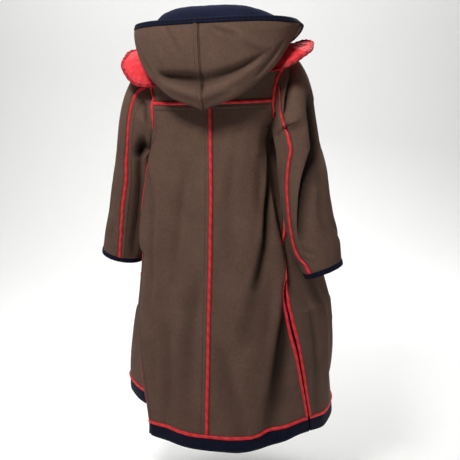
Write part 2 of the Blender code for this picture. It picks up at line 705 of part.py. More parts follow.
def sleeve_ring(turn, along, side):
    """A ring of the sleeve below its head: an oval across the arm's line."""
    def read(name, place):
        return smooth_read(SLEEVE, SLEEVE_COLUMNS, "along", name, place)
    hand = "left_" if side > 0 else "right_"
    arm = (hand + "side", hand + "back", "height")
    upper = ((1 + np.cos(turn - TWIST_TURN)) / 2) ** 1.5
    share = upper + (1 - upper) * ease((along - SLEEVE_HEAD) / TWIST_RUN)
    turn = turn + share * np.radians(read(hand + "twist", along))
    centre = np.stack([read(name, along) for name in arm], axis=-1)
    ahead = np.minimum(along + 0.01, 1.0)
    behind = np.maximum(ahead - 0.02, SLEEVE_HEAD)
    step = np.stack([read(n, ahead) - read(n, behind) for n in arm], axis=-1)
    axis = unit(step)
    outward = unit(np.stack([-axis[..., 2], axis[..., 1] * 0, axis[..., 0]], axis=-1))
    rear = unit(np.cross(outward, axis))
    rear = rear * np.sign(rear[..., 1:2])
    point = centre + outward * (read(hand + "wide", along) * np.cos(turn))[..., None]
    point = point + rear * (read("half_deep", along) * np.sin(turn))[..., None]
    return point * np.array([side, 1, 1]), axis * np.array([side, 1, 1])


def sleeve_point(turn, along, side):
    """The sleeve's outer surface: a head that leaves the armhole, then rings down to the cuff."""
    turn, along = np.broadcast_arrays(np.asarray(turn, dtype=float), np.asarray(along, dtype=float))
    near = ((1 + np.cos(turn - math.radians(SEAM_TURN))) / 2) ** 2
    hand = "left" if side > 0 else "right"
    turn = turn + np.radians(smooth_read(DRIFT, DRIFT_COLUMNS, "along", hand, along)) * near
    start, inward, normal = armhole_point(turn, side)
    ring, axis = sleeve_ring(turn, np.maximum(along, SLEEVE_HEAD), side)
    target, last_axis = sleeve_ring(turn, np.full(turn.shape, SLEEVE_HEAD), side)
    start = start + inward * GAP * 1.5
    reach = np.linalg.norm(target - start, axis=-1)[..., None]
    upper = (1 + np.cos(turn)) / 2
    sideways = side * LEAVE_SIDE * (1 + upper)
    leave = unit(np.stack([sideways, LEAVE_BACK * np.sin(turn), LEAVE_TOP * upper - LEAVE_DOWN], axis=-1))
    fullness = HEAD_FULLNESS_LEFT if side > 0 else HEAD_FULLNESS_RIGHT
    t = np.clip(along / SLEEVE_HEAD, 0.0, 1.0)[..., None]
    head = (1 + 2 * t) * (1 - t) ** 2 * start + t * (1 - t) ** 2 * leave * reach * fullness
    head = head + t * t * (3 - 2 * t) * target + t * t * (t - 1) * last_axis * reach
    point = np.where(along[..., None] < SLEEVE_HEAD, head, ring)
    outward = np.stack([np.cos(turn) * side, np.sin(turn), turn * 0], axis=-1)
    rise = folds_at(SLEEVE_FOLDS, SLEEVE_FOLD_COLUMNS, np.degrees(turn), along, 360.0)
    return point + outward * rise[..., None]


def sleeve_inner(turn, along, side, depth):
    """Points on the inside of the sleeve wall. At the armhole they never pass the seam's plane."""
    def surface(a, b):
        return sleeve_point(a, b, side)
    safe = np.clip(along, EPSILON, 1 - EPSILON)
    normal = -surface_normal(surface, turn, safe, SEAM_REACH) * side
    point = sleeve_point(turn, along, side)
    away = -normal * depth
    start, inward, body_normal = armhole_point(turn, side)
    back = np.minimum(np.sum(away * inward, axis=-1), 0.0)
    near = (along < 0.02)
    return point + away - inward * (back * near)[..., None]


def build_sleeves(wool, red, navy):
    """Under sleeves, top sleeves in two solids, their piping, the armhole piping, cuff bindings."""
    alongs = np.array(SLEEVE_ROWS)
    cut = GAP / 2 / SLEEVE_LENGTH
    upper_alongs = np.append(alongs[alongs < SLEEVE_CUT], SLEEVE_CUT - cut)
    lower_alongs = np.insert(alongs[alongs > SLEEVE_CUT], 0, SLEEVE_CUT + cut)
    seam = math.radians(SEAM_TURN)
    under = math.radians(UNDER_SEAM_TURN)
    full = 2 * math.pi
    cord_turn = CORD_WIDTH / 2 / ARM_RADIUS
    gap_turn = GAP / 2 / ARM_RADIUS
    marks = np.arange(2 * ARMHOLE_STEPS) * math.pi / ARMHOLE_STEPS
    lower = [t for t in marks if seam + cord_turn * 1.5 < t < under - gap_turn * 3]
    upper = [t for t in marks if t > under + gap_turn * 3]
    upper += [t + full for t in marks if t < seam - cord_turn * 1.5]
    under_turns = [seam + gap_turn, seam + cord_turn] + lower + [under - gap_turn]
    top_turns = [under + gap_turn] + upper + [seam + full - cord_turn, seam + full - gap_turn]
    across = np.linspace(-cord_turn, cord_turn, 4)
    for side, name in ((1, "left"), (-1, "right")):
        for piece, turns, places in (
            ("sleeve_under_", under_turns, alongs),
            ("sleeve_top_", top_turns, upper_alongs),
            ("sleeve_top_low_", top_turns, lower_alongs),
        ):
            turn, along = np.meshgrid(np.array(turns), places)
            inner = sleeve_inner(turn, along, side, WOOL)
            shell(piece + name, sleeve_point(turn, along, side), inner, wool)

        def surface(a, b, side=side):
            return sleeve_point(a, b, side)
        turn, along = np.meshgrid(seam + across, alongs[1:-1])
        normal = -surface_normal(surface, turn, along, SEAM_REACH) * side
        cord("piping_sleeve_" + name, surface(turn, along), normal, CORD_HEIGHT, red)
        turn = np.arange(1 - ARMHOLE_CORD_STEPS, ARMHOLE_CORD_STEPS + 1) * math.pi / ARMHOLE_STEPS
        edge, inward, normal = armhole_point(turn, side)
        insets = np.linspace(CORD_WIDTH - 2 * GAP, GAP, 4)
        base = np.stack([edge - inward * inset + normal * 4 * LIFT for inset in insets], axis=1)
        cord("piping_armhole_" + name, base, np.repeat(normal[:, None], 4, axis=1), CORD_HEIGHT, red)
        turns = under_turns + top_turns
        turns = np.array([t for i, t in enumerate(turns) if i == 0 or t - turns[i - 1] > 0.03])
        turn, along = np.meshgrid(turns, np.array([CUFF_FROM, 0.999]))
        normal = -surface_normal(surface, turn, along - EPSILON, SEAM_REACH) * side
        outer = surface(turn, along) + normal * (LIFT + BINDING_HEIGHT)
        inner = surface(turn, along) + normal * LIFT
        shell("cuff_binding_" + name, outer, inner, navy, ring=True)


def rim_read(name, turn):
    """A value of the hood's rim table, the same on both sides."""
    return smooth_read(RIM, RIM_COLUMNS, "turn", name, np.abs(turn))


def hood_point(turn, across):
    """The hood's outer surface. turn is in degrees from the centre back, across runs from the rim."""
    turn, across = np.broadcast_arrays(np.asarray(turn, dtype=float), np.asarray(across, dtype=float))
    side = np.where(turn < 0, -1.0, 1.0)
    width = np.where(turn < 0, HOOD_RIGHT_SHARE, HOOD_LEFT_SHARE)
    neck = body_point(np.radians(turn), np.zeros(turn.shape))
    rim = np.stack([rim_read(name, turn) for name in ("side", "back", "height")], axis=-1)
    rim[..., 0] *= side * width
    reach = smooth_read(HOOD, HOOD_COLUMNS, "across", "reach", across)
    drop = smooth_read(HOOD, HOOD_COLUMNS, "across", "drop", across)
    stand = smooth_read(HOOD, HOOD_COLUMNS, "across", "stand", across)
    flat = neck + (rim - neck) * reach[..., None]
    flat[..., 2] = neck[..., 2] + (rim - neck)[..., 2] * ease(reach)
    flat[..., 2] += stand * rim_read("stand", turn) - drop * rim_read("depth", turn)
    flat[..., 2] += HOOD_LIFT
    return flat


def build_hood(wool, navy, lining):
    """The hood's two halves, its binding, and its lining where the mouth shows it."""
    acrosses = np.array(HOOD_ROWS)
    turns = np.array(HOOD_TURNS)
    for side, name in ((1, "left"), (-1, "right")):
        turn, across = np.meshgrid(np.sort(turns * side), acrosses)
        outer, inner = hood_wall(turn, across, 0.0, -WOOL)
        centre = 0 if side > 0 else -1
        outer[:, centre, 0] = side * GAP / 2
        inner[:, centre, 0] = side * GAP / 2
        shell("hood_" + name, outer, inner, wool)
    both = np.concatenate([-turns[:0:-1], turns])
    turn, across = np.meshgrid(both, acrosses[:HOOD_BINDING_ROWS])
    outer, inner = hood_wall(turn, across, 1.5 * LIFT + BINDING_HEIGHT, 1.5 * LIFT)
    shell("hood_binding", outer, inner, navy)
    turn, across = np.meshgrid(both[2:-2], acrosses[HOOD_LINING_FROM:-1])
    outer, inner = hood_wall(turn, across, -WOOL - LIFT, -WOOL - LIFT - LINING)
    shell("hood_lining", outer, inner, lining)


def hood_wall(turn, across, high, low):
    """Two layers of the hood, moved out from its points."""
    inside = np.clip(across, EPSILON, 1 - EPSILON)
    normal = surface_normal(hood_point, turn, inside)
    point = hood_point(turn, across)
    return point + normal * high, point + normal * low


def flap_point(turn, reach, side):
    """A red flap's upper face, from the neck seam over the shoulder to its rounded rim."""
    turn, reach = np.broadcast_arrays(np.asarray(turn, dtype=float), np.asarray(reach, dtype=float))
    height = "height_left" if side > 0 else "height_right"
    columns = ("side", "back", height)
    edge = np.stack([smooth_read(FLAP, FLAP_COLUMNS, "turn", name, turn) for name in columns], axis=-1)
    edge = edge * np.array([side, 1, 1])
    angle = np.radians(turn) * side
    neck = layer(body_point, angle, np.full(turn.shape, FLAP_NECK_DOWN), np.full(turn.shape, SATIN + LIFT))
    near = layer(body_point, angle, np.full(turn.shape, FLAP_NEAR_DOWN), np.full(turn.shape, FLAP_NEAR_LIFT))
    far = layer(body_point, angle, np.full(turn.shape, FLAP_FAR_DOWN), np.full(turn.shape, FLAP_FAR_LIFT))
    t = reach[..., None]
    point = (1 - t) ** 3 * neck + 3 * t * (1 - t) ** 2 * near + 3 * t * t * (1 - t) * far + t ** 3 * edge
    wave = np.cos(np.radians(turn) * FLAP_WAVES_PER_TURN) * FLAP_WAVE
    point[..., 2] += wave * ease((reach - 0.45) / 0.5)
    return point


def build_flaps(red):
    """The two satin shoulder flaps."""
    turns = np.linspace(FLAP[0][0], FLAP[-1][0], FLAP_STEPS)
    reaches = np.array(FLAP_ROWS)
    for side, name in ((1, "left"), (-1, "right")):
        def surface(a, b, side=side):
            return flap_point(a, b, side)
        turn, reach = np.meshgrid(turns, reaches)
        inside = np.clip(reach, EPSILON, 1 - EPSILON)
        normal = surface_normal(surface, turn, inside)
        normal = normal * np.sign(normal[..., 2:3])
        outer = surface(turn, reach)
        shell("shoulder_flap_" + name, outer, outer - normal * SATIN, red)


def lathe(name, profile, look):
    """A closed round body along X from a profile of places and radii."""
    around = np.arange(TOGGLE_SIDES) * 2 * math.pi / TOGGLE_SIDES
    points = [(x, r * math.cos(t), r * math.sin(t)) for x, r in profile for t in around]
    faces = grid_faces(len(profile), TOGGLE_SIDES, 0, True)
    first = tuple(range(TOGGLE_SIDES))
    faces.append(first)
    faces.append(tuple((len(profile) - 1) * TOGGLE_SIDES + k for k in reversed(first)))
    return add_mesh(name, points, faces, look)


def build_toggles(horn, navy):
    """Three horn toggles on the left front, each held by a cord loop sewn across the front edge."""
    share = np.linspace(-1, 1, 9)
    waist = TOGGLE_WAIST + (TOGGLE_RADIUS - TOGGLE_WAIST) * np.minimum(1.0, np.abs(share) * 1.6)
    radius = waist * np.sqrt(1 - np.abs(share) ** 6 * 0.75)
    profile = list(zip(share * TOGGLE_LENGTH / 2, radius))
    for number, down in enumerate(TOGGLE_DOWNS, start=1):
        step = pace(np.array(math.pi), np.array(down))
        angle = math.pi - TOGGLE_ASIDE / step
        place = left_front_surface(angle, np.array(down))
        facing = surface_normal(left_front_surface, angle, np.array(down))
        lift = LIFT + LOOP_RADIUS * 2 + TOGGLE_RADIUS - TOGGLE_SINK
        made = lathe("toggle_%d" % number, profile, horn)
        turn = Vector((0, -1, 0)).rotation_difference(Vector(facing)).to_matrix().to_4x4()
        made.matrix_world = Matrix.Translation(Vector(place + facing * lift)) @ turn
        run = np.linspace(-1, 1, 15)
        away = LOOP_REACH * (0.28 - np.abs(run) ** 3) + TOGGLE_ASIDE
        rise = LOOP_SPREAD * np.sign(run) * np.minimum(1.0, np.abs(run) * 2.2) ** 0.7
        loop_angle = math.pi - away / step
        line = layer(left_front_surface, loop_angle, down + rise, np.full(run.shape, LIFT + LOOP_RADIUS))
        tube("loop_%d" % number, line, LOOP_RADIUS, navy)


def tube(name, line, radius, look):
    """A round cord along a line of points, closed at both ends."""
    along = unit(np.gradient(line, axis=0))
    side = unit(np.cross(along, np.array([0.0, 1.0, 0.0])))
    other = np.cross(along, side)
    around = np.arange(8) * 2 * math.pi / 8
    ring = side[:, None] * np.cos(around)[:, None] + other[:, None] * np.sin(around)[:, None]
    rings = line[:, None] + radius * ring
    faces = grid_faces(len(line), len(around), 0, True)
    faces.append(tuple(reversed(range(len(around)))))
    faces.append(tuple((len(line) - 1) * len(around) + k for k in range(len(around))))
    return add_mesh(name, rings.reshape(-1, 3), faces, look)


for old in list(bpy.data.objects):
    bpy.data.objects.remove(old, do_unlink=True)

coat = bpy.data.objects.new("coat", None)
bpy.context.collection.objects.link(coat)

melton = material("melton_wool", WOOL_BROWN, 0.92)
piping = material("red_piping", PIPING_RED, 0.55)
satin = material("red_satin", SATIN_RED, 0.38)
trim = material("navy_trim", TRIM_NAVY, 0.80)
hood_cloth = material("navy_lining", LINING_NAVY, 0.85)
horn = material("toggle_horn", TOGGLE_HORN, 0.35)

build_back(melton, piping, trim)
build_front(melton, piping, trim)
build_underlap(trim)
build_sides(piping)
build_sleeves(melton, piping, trim)
build_hood(melton, trim, hood_cloth)
build_flaps(satin)
build_toggles(horn, trim)
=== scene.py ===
# %% [markdown]
# # A duffle coat, seen from behind
#
# The coat is a long brown wool coat with its hood down, bright red piping along the seams and navy
# bindings. The frame holds it as plain solids. In this lesson each solid gets its dress: a thin shell
# of cloth with its folds, the cords and bindings on its seams, the stitches, and the finishes.
# Every shape is worked out with numpy from a few tables, so a number that is changed changes the coat.

# %% Load the frame
import math
import bmesh
import bpy
import numpy as np
from mathutils import Matrix


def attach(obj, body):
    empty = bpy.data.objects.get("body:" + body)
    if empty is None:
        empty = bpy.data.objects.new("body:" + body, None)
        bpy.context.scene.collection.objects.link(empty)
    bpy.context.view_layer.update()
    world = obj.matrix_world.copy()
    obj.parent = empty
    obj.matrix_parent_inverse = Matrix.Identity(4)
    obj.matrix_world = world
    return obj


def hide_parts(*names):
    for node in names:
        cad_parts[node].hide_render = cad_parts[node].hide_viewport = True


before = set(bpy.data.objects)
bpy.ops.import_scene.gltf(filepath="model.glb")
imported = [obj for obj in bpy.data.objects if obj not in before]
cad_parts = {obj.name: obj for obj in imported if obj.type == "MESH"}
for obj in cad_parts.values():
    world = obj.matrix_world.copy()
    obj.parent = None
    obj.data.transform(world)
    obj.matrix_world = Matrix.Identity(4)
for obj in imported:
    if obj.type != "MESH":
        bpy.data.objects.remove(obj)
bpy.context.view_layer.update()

# %% [markdown]
# ## The camera
#
# The photograph looks at the coat from behind and a little from its right, down at about 13 degrees.
# A camera can be placed with constraints or by hand. Here its matrix is written from three angles,
# because the angles were fitted to the outline of the coat and can be read again from the code.

# %% Camera
AZIMUTH = 195.68
DISTANCE = 2.094
EYE_HEIGHT = -0.083
LENS = 55.96
PITCH = 13.29
YAW = -0.22
ROLL = -2.41


def camera_matrix():
    """Right, up and back vectors of the camera: a level look at the axis, yawed, pitched, rolled."""
    a, y, q, t = (math.radians(v) for v in (AZIMUTH, YAW, PITCH, ROLL))
    place = np.array([DISTANCE * math.sin(a), -DISTANCE * math.cos(a), EYE_HEIGHT])
    level = np.array([-math.sin(a + y), math.cos(a + y), 0.0])
    ahead = level * math.cos(q) + np.array([0.0, 0.0, -math.sin(q)])
    right = np.cross(ahead, [0.0, 0.0, 1.0])
    right /= np.linalg.norm(right)
    up = np.cross(right, ahead)
    rolled_right = right * math.cos(t) + up * math.sin(t)
    rolled_up = up * math.cos(t) - right * math.sin(t)
    matrix = np.eye(4)
    matrix[:3, :] = np.stack([rolled_right, rolled_up, -ahead, place], axis=1)
    return Matrix(matrix.tolist())


camera_data = bpy.data.cameras.new("camera")
camera_data.lens = LENS
camera_data.sensor_width = 36.0
camera = bpy.data.objects.new("camera", camera_data)
camera.matrix_world = camera_matrix()
bpy.context.collection.objects.link(camera)
bpy.context.scene.camera = camera
print("camera at", [round(v, 3) for v in camera.location])

# %% [markdown]
# ## Reading tables and adding creases
#
# A garment's form is a few measurements at a few heights, as on a tailor's chart. Lofting through
# curves would do it too, but a table that is read with a smooth cubic gives any point at once, also as
# a whole array. A crease is a soft trough or ridge along a bent line in the two parameters of a surface.
# It could be sculpted by hand, but three points and a depth say the same and can be read again.

# %% Tables, smooth reading and creases
def column(table, columns, name):
    """One named column of a short table."""
    return np.array([row[columns.index(name)] for row in table], dtype=float)


def smooth_read(table, columns, key, name, place):
    """A column between its rows: a cubic through the rows, flat where the values turn back."""
    xs = column(table, columns, key)
    ys = column(table, columns, name)
    place = np.clip(np.asarray(place, dtype=float), xs[0], xs[-1])
    secant = np.diff(ys) / np.diff(xs)
    slope = np.concatenate([secant[:1], (secant[:-1] + secant[1:]) / 2, secant[-1:]])
    slope[np.concatenate([[False], secant[:-1] * secant[1:] <= 0, [False]])] = 0.0
    row = np.clip(np.searchsorted(xs, place, side="right") - 1, 0, len(xs) - 2)
    step = xs[row + 1] - xs[row]
    t = (place - xs[row]) / step
    start = (1 + 2 * t) * (1 - t) ** 2 * ys[row] + t * (1 - t) ** 2 * step * slope[row]
    return start + t * t * (3 - 2 * t) * ys[row + 1] + t * t * (t - 1) * step * slope[row + 1]


def ease(value):
    """A soft step from 0 to 1: three squares less two cubes."""
    value = np.clip(value, 0.0, 1.0)
    return value * value * (3 - 2 * value)


def hump(value):
    """A soft bell: e to the minus square."""
    return np.exp(-value * value)


def unit(vectors):
    """Vectors divided by their lengths."""
    return vectors / np.maximum(np.linalg.norm(vectors, axis=-1, keepdims=True), 1e-12)


# A crease has ten columns: first_a, second_a, first_b, second_b, first_c, second_c (its line's three
# points), half_from and half_to (half-widths in metres), rise in metres, and lip, a share with a side.
CREASE_STEPS = 25
LIP_AWAY = 1.7
CREASE_REACH = 3.6


def creases_at(table, first, second, paces):
    """Creases on bent lines: each line is the parabola through its three points. Across it the cloth
    follows a bell with a smaller, opposite bell on one side, the lip; along it the crease fades in and
    out with the root of a sine. The paces turn the two parameters into metres."""
    first, second = np.broadcast_arrays(np.asarray(first, dtype=float), np.asarray(second, dtype=float))
    total = np.zeros(first.shape)
    t = np.linspace(0.0, 1.0, CREASE_STEPS)
    weights = np.stack([(1 - t) * (1 - 2 * t), 4 * t * (1 - t), t * (2 * t - 1)], axis=1)
    for row in table:
        points = np.array(row[:6], dtype=float).reshape(3, 2)
        half_from, half_to, rise, lip = row[6:]
        centre = points[1, 0]
        line = weights @ ((points - [centre, 0.0]) * paces)
        away = (first - centre + 180.0) % 360.0 - 180.0
        place = np.stack([away * paces[0], second * paces[1]], axis=-1)
        reach = CREASE_REACH * max(half_from, half_to)
        near = np.all((place > line.min(axis=0) - reach) & (place < line.max(axis=0) + reach), axis=-1)
        if not near.any():
            continue
        apart = place[near][:, None] - line[None]
        nearest = np.argmin(np.sum(apart ** 2, axis=-1), axis=1)
        ahead = unit(np.gradient(line, axis=0))[nearest]
        apart = apart[np.arange(len(nearest)), nearest]
        spacing = np.linalg.norm(np.diff(line, axis=0), axis=1).mean()
        steps = nearest + np.sum(apart * ahead, axis=-1) / spacing
        share = np.clip(steps / (CREASE_STEPS - 1), 0.0, 1.0)
        half = half_from + (half_to - half_from) * share
        across = (ahead[:, 0] * apart[:, 1] - ahead[:, 1] * apart[:, 0]) / half
        bell = hump(across) - abs(lip) * hump(across - LIP_AWAY * np.sign(lip))
        total[near] += rise * bell * np.sqrt(np.sin(math.pi * share))
    return total


def ripple(first, second, seed):
    """Slow unevenness of hanging cloth: a few sines whose waves are a hand's width long."""
    total = 0.0
    for k in range(4):
        angle = seed * 1.7 + k * 2.4
        waves = first * math.cos(angle) * (40 + 17 * k) + second * math.sin(angle) * (34 + 13 * k)
        total = total + np.sin(waves + angle * 3)
    return total / 4


print("a crease of 10 mm, 0 and 1 half-widths away:", np.round(10 * hump(np.array([0.0, 1.0])), 1))

# %% [markdown]
# ## The form of the body
#
# Each ring of the body is an oval with flattened corners, a superellipse, read from the chart by
# the length of cloth below the neck seam. The angle runs from the centre back, plus to the coat's left.
# Wide folds come first, as soft troughs and ridges that fan out to the hem. The creases are what the
# arms and the hood's weight pull into the cloth.

# %% Chart of the body and its folds
BODY_COLUMNS = ("down", "height", "half_width", "back", "front", "square", "seam_left", "seam_right")
BODY = (
    (0.000, 0.000, 0.084, 0.078, 0.080, 2.0, 70.0, 70.0),
    (0.030, -0.010, 0.112, 0.090, 0.092, 2.1, 70.0, 70.0),
    (0.090, -0.034, 0.160, 0.104, 0.104, 2.3, 70.0, 70.0),
    (0.145, -0.066, 0.207, 0.112, 0.110, 2.5, 70.0, 70.0),
    (0.250, -0.172, 0.208, 0.122, 0.122, 2.6, 70.0, 91.0),
    (0.395, -0.310, 0.178, 0.134, 0.134, 2.4, 70.0, 91.0),
    (0.450, -0.363, 0.187, 0.140, 0.139, 2.4, 69.0, 92.0),
    (0.540, -0.450, 0.207, 0.154, 0.150, 2.3, 68.0, 87.0),
    (0.620, -0.530, 0.232, 0.171, 0.163, 2.2, 68.0, 76.0),
    (0.700, -0.610, 0.256, 0.188, 0.175, 2.2, 68.0, 59.0),
    (0.780, -0.688, 0.271, 0.206, 0.188, 2.1, 66.0, 51.5),
    (0.860, -0.765, 0.284, 0.225, 0.200, 2.1, 60.0, 49.2),
    (0.950, -0.852, 0.294, 0.245, 0.216, 2.0, 51.0, 50.5),
    (1.030, -0.930, 0.302, 0.263, 0.230, 2.0, 46.5, 52.5),
    (1.110, -1.009, 0.307, 0.282, 0.244, 2.0, 42.5, 54.7),
    (1.195, -1.093, 0.311, 0.300, 0.257, 2.0, 39.0, 57.2),
    (1.255, -1.153, 0.316, 0.307, 0.263, 2.0, 37.2, 58.2),
)
# Wide folds: angle_top, angle_low, down_from, down_to, half_angle, rise.
FOLDS = (
    (-72.0, -72.0, 0.30, 0.88, 22.0, -0.050),
    (-98.0, -100.0, 0.66, 1.12, 16.0, 0.020),
    (-92.0, -92.0, 0.95, 1.60, 18.0, -0.008),
    (74.0, 74.0, 0.90, 1.60, 15.0, 0.018),
    (64.0, 64.0, 0.26, 0.72, 18.0, 0.036),
    (-44.0, -31.0, 0.42, 1.40, 8.0, -0.016),
    (-24.0, -14.0, 0.60, 1.45, 8.0, 0.008),
    (30.0, 24.0, 0.55, 1.45, 9.0, -0.009),
    (46.0, 50.0, 0.60, 1.40, 9.0, 0.009),
    (112.0, 108.0, 0.50, 1.40, 9.0, -0.010),
    (140.0, 138.0, 0.45, 1.45, 10.0, 0.010),
    (-116.0, -110.0, 0.60, 1.40, 9.0, -0.011),
    (-146.0, -140.0, 0.45, 1.45, 10.0, 0.009),
    (163.0, 160.0, 0.60, 1.45, 8.0, -0.007),
)
# Creases: first is the angle in degrees, second the cloth below the neck in metres.
BODY_PACES = (0.0042, 1.0)
BODY_CREASES = (
    (-58.0, 0.290, -66.0, 0.370, -72.0, 0.450, 0.012, 0.015, -0.0150, 0.0),
    (-73.0, 0.400, -51.0, 0.545, -27.5, 0.800, 0.016, 0.013, -0.0230, -0.20),
    (-34.0, 0.660, -27.0, 0.790, -17.0, 0.960, 0.014, 0.022, -0.0080, 0.0),
    (-50.0, 0.780, -44.0, 0.960, -32.5, 1.240, 0.011, 0.024, -0.0230, -0.20),
    (-66.0, 0.560, -59.5, 0.690, -53.0, 0.840, 0.022, 0.016, -0.0190, 0.0),
    # On the yoke right of the hood a soft trough, whose painted fold shade also stands in for the hood's cast shadow.
    (-50.0, 0.205, -62.0, 0.215, -76.0, 0.235, 0.030, 0.026, -0.0100, 0.0),
    (64.0, 0.420, 42.0, 0.600, 36.0, 0.880, 0.014, 0.018, 0.0070, -0.60),
    (6.0, 0.740, 12.5, 0.940, 12.0, 1.210, 0.018, 0.026, -0.0070, 0.30),
    (-6.0, 0.940, -12.0, 1.080, -20.0, 1.230, 0.016, 0.024, -0.0060, 0.30),
    (30.0, 0.900, 27.0, 1.060, 26.0, 1.230, 0.016, 0.024, -0.0055, -0.30),
    (47.0, 0.940, 45.0, 1.060, 44.0, 1.230, 0.010, 0.016, 0.0040, 0.0),
    (22.0, 0.440, 27.0, 0.600, 24.0, 0.800, 0.018, 0.022, -0.0045, 0.30),
    (-20.0, 0.420, -13.0, 0.560, -11.0, 0.740, 0.018, 0.024, -0.0045, 0.30),
    (-66.0, 0.860, -68.0, 1.020, -64.0, 1.230, 0.012, 0.018, -0.0070, 0.40),
    (-84.0, 0.760, -82.0, 0.960, -80.0, 1.220, 0.012, 0.018, 0.0060, 0.0),
    (78.0, 0.760, 80.0, 0.940, 84.0, 1.180, 0.012, 0.018, -0.0060, 0.40),
    (112.0, 0.330, 128.0, 0.420, 140.0, 0.560, 0.008, 0.013, -0.0080, -0.50),
    (118.0, 0.400, 124.0, 0.500, 126.0, 0.640, 0.008, 0.012, -0.0055, 0.45),
    (-114.0, 0.330, -130.0, 0.420, -141.0, 0.570, 0.008, 0.013, -0.0080, 0.50),
    (-120.0, 0.410, -125.0, 0.510, -128.0, 0.660, 0.008, 0.012, -0.0050, -0.45),
    (146.0, 0.620, 150.0, 0.840, 148.0, 1.200, 0.010, 0.018, -0.0080, -0.45),
    (-150.0, 0.660, -154.0, 0.880, -152.0, 1.210, 0.010, 0.018, -0.0075, 0.45),
    (122.0, 0.740, 120.0, 0.940, 124.0, 1.200, 0.010, 0.018, 0.0065, -0.50),
    (-122.0, 0.700, -124.0, 0.920, -120.0, 1.200, 0.010, 0.018, 0.0065, 0.50),
    (-168.0, 0.820, -170.0, 1.000, -166.0, 1.210, 0.010, 0.016, -0.0045, 0.0),
)
BODY_RIPPLE = 0.0015
NECK_DIP = 0.072
NECK_DIP_FADE = 0.22
ARMHOLE_TOP = 0.145
ARMHOLE_LOW = 0.395
ARMHOLE_STEPS = 8
ARMHOLE_COLUMNS = ("step", "left_back", "left_front", "right_back", "right_front")
ARMHOLE = (
    (0, 90.0, 90.0, 90.0, 90.0),
    (1, 79.0, 99.0, 79.0, 99.5),
    (2, 68.0, 105.5, 65.0, 107.0),
    (3, 58.5, 108.0, 53.5, 111.0),
    (4, 53.0, 106.0, 50.5, 112.0),
    (5, 54.0, 100.0, 57.0, 110.0),
    (6, 58.5, 91.5, 70.0, 105.0),
    (7, 64.5, 81.0, 83.0, 98.0),
    (8, 70.0, 70.0, 91.0, 91.0),
)
SHOULDER_ANGLE = math.radians(90.0)
YOKE_SEAM = (ARMHOLE_TOP + ARMHOLE_LOW) / 2
VENT_TOP = 0.745
VENT_LEFT = (0.003, -0.013, 0.20)
VENT_RIGHT = (0.001, 0.0, 0.50)
VENT_OPEN_RIGHT = 0.0090
VENT_LAP_LEFT = 0.0100
VENT_LAP_FROM = 0.835
VENT_CURL = 0.0045
VENT_CURL_WIDTH = 0.014
GAP = 0.0003
BAND_DROP = 0.041
HEM_SEAM = 1.208
HEM_RADIUS = 0.30
HEM = HEM_SEAM + BAND_DROP
HEM_RISES = ((0.0, 60.0, 0.010), (-52.0, 14.0, 0.020))
HEM_RISE_FROM = 0.75
EPSILON = 0.0002
print("rings:", len(BODY), "folds:", len(FOLDS), "creases:", len(BODY_CREASES))

# %% The body's surface
def body_folds(degrees, down):
    """Troughs and ridges whose middle drifts from the top angle to the low one as they run down."""
    total = np.zeros(np.broadcast(degrees, down).shape)
    for top, low, begin, end, half, rise in FOLDS:
        share = np.clip((down - begin) / (end - begin), 0.0, 1.0)
        away = (degrees - top - (low - top) * share + 180.0) % 360.0 - 180.0
        total = total + rise * np.sqrt(np.sin(math.pi * share)) * hump(away / half)
    return total


def body_point(angle, down, flare=0.0):
    """The body's outer face: an oval with flattened corners at each height, moved out by its folds."""
    angle, down = np.broadcast_arrays(np.asarray(angle, dtype=float), np.asarray(down, dtype=float))
    wide, back, front, square, height = (
        smooth_read(BODY, BODY_COLUMNS, "down", name, down)
        for name in ("half_width", "back", "front", "square", "height")
    )
    sine, cosine = np.sin(angle), np.cos(angle)
    spread = (np.abs(sine) ** square + np.abs(cosine) ** square) ** (-1.0 / square)
    degrees = np.degrees(angle)
    quiet = ease((down - 0.05) / 0.2)
    out = body_folds(degrees, down) + creases_at(BODY_CREASES, degrees, down, BODY_PACES) + flare
    out = out + BODY_RIPPLE * quiet * ripple(sine * 0.3 + cosine * 0.2, down, 1)
    x = (wide + out) * sine * spread
    y = (np.where(cosine > 0, back, front) + out) * cosine * spread
    dip = NECK_DIP * (1 - ease(down / NECK_DIP_FADE)) * ((1 - cosine) / 2) ** 1.5
    low = ease((down - HEM_RISE_FROM) / (HEM - HEM_RISE_FROM))
    for middle, half, rise in HEM_RISES:
        dip = dip - rise * low * hump(((degrees - middle + 180.0) % 360.0 - 180.0) / half)
    return np.stack([x, y, height - dip], axis=-1)


def normal_of(surface, first, second, reach=EPSILON, other=EPSILON):
    """Unit normals: the cross product of small steps along the two parameters."""
    along = surface(first + reach, second) - surface(first - reach, second)
    across = surface(first, second + other) - surface(first, second - other)
    return unit(np.cross(along, across))


def seam_angle(down, side):
    """Angle of the side seam, left (1) or right (-1), below the armhole."""
    name = "seam_left" if side > 0 else "seam_right"
    return np.radians(smooth_read(BODY, BODY_COLUMNS, "down", name, down))


def vent_open(down, side):
    """Half the gap of a side vent. The right vent opens softly, the left one's back laps over its front."""
    if side > 0:
        return GAP / 2 - (VENT_LAP_LEFT + GAP) / 2 * ease((down - VENT_LAP_FROM) / 0.10)
    return GAP / 2 + (VENT_OPEN_RIGHT - GAP) / 2 * ease((down - VENT_TOP) / 0.10)


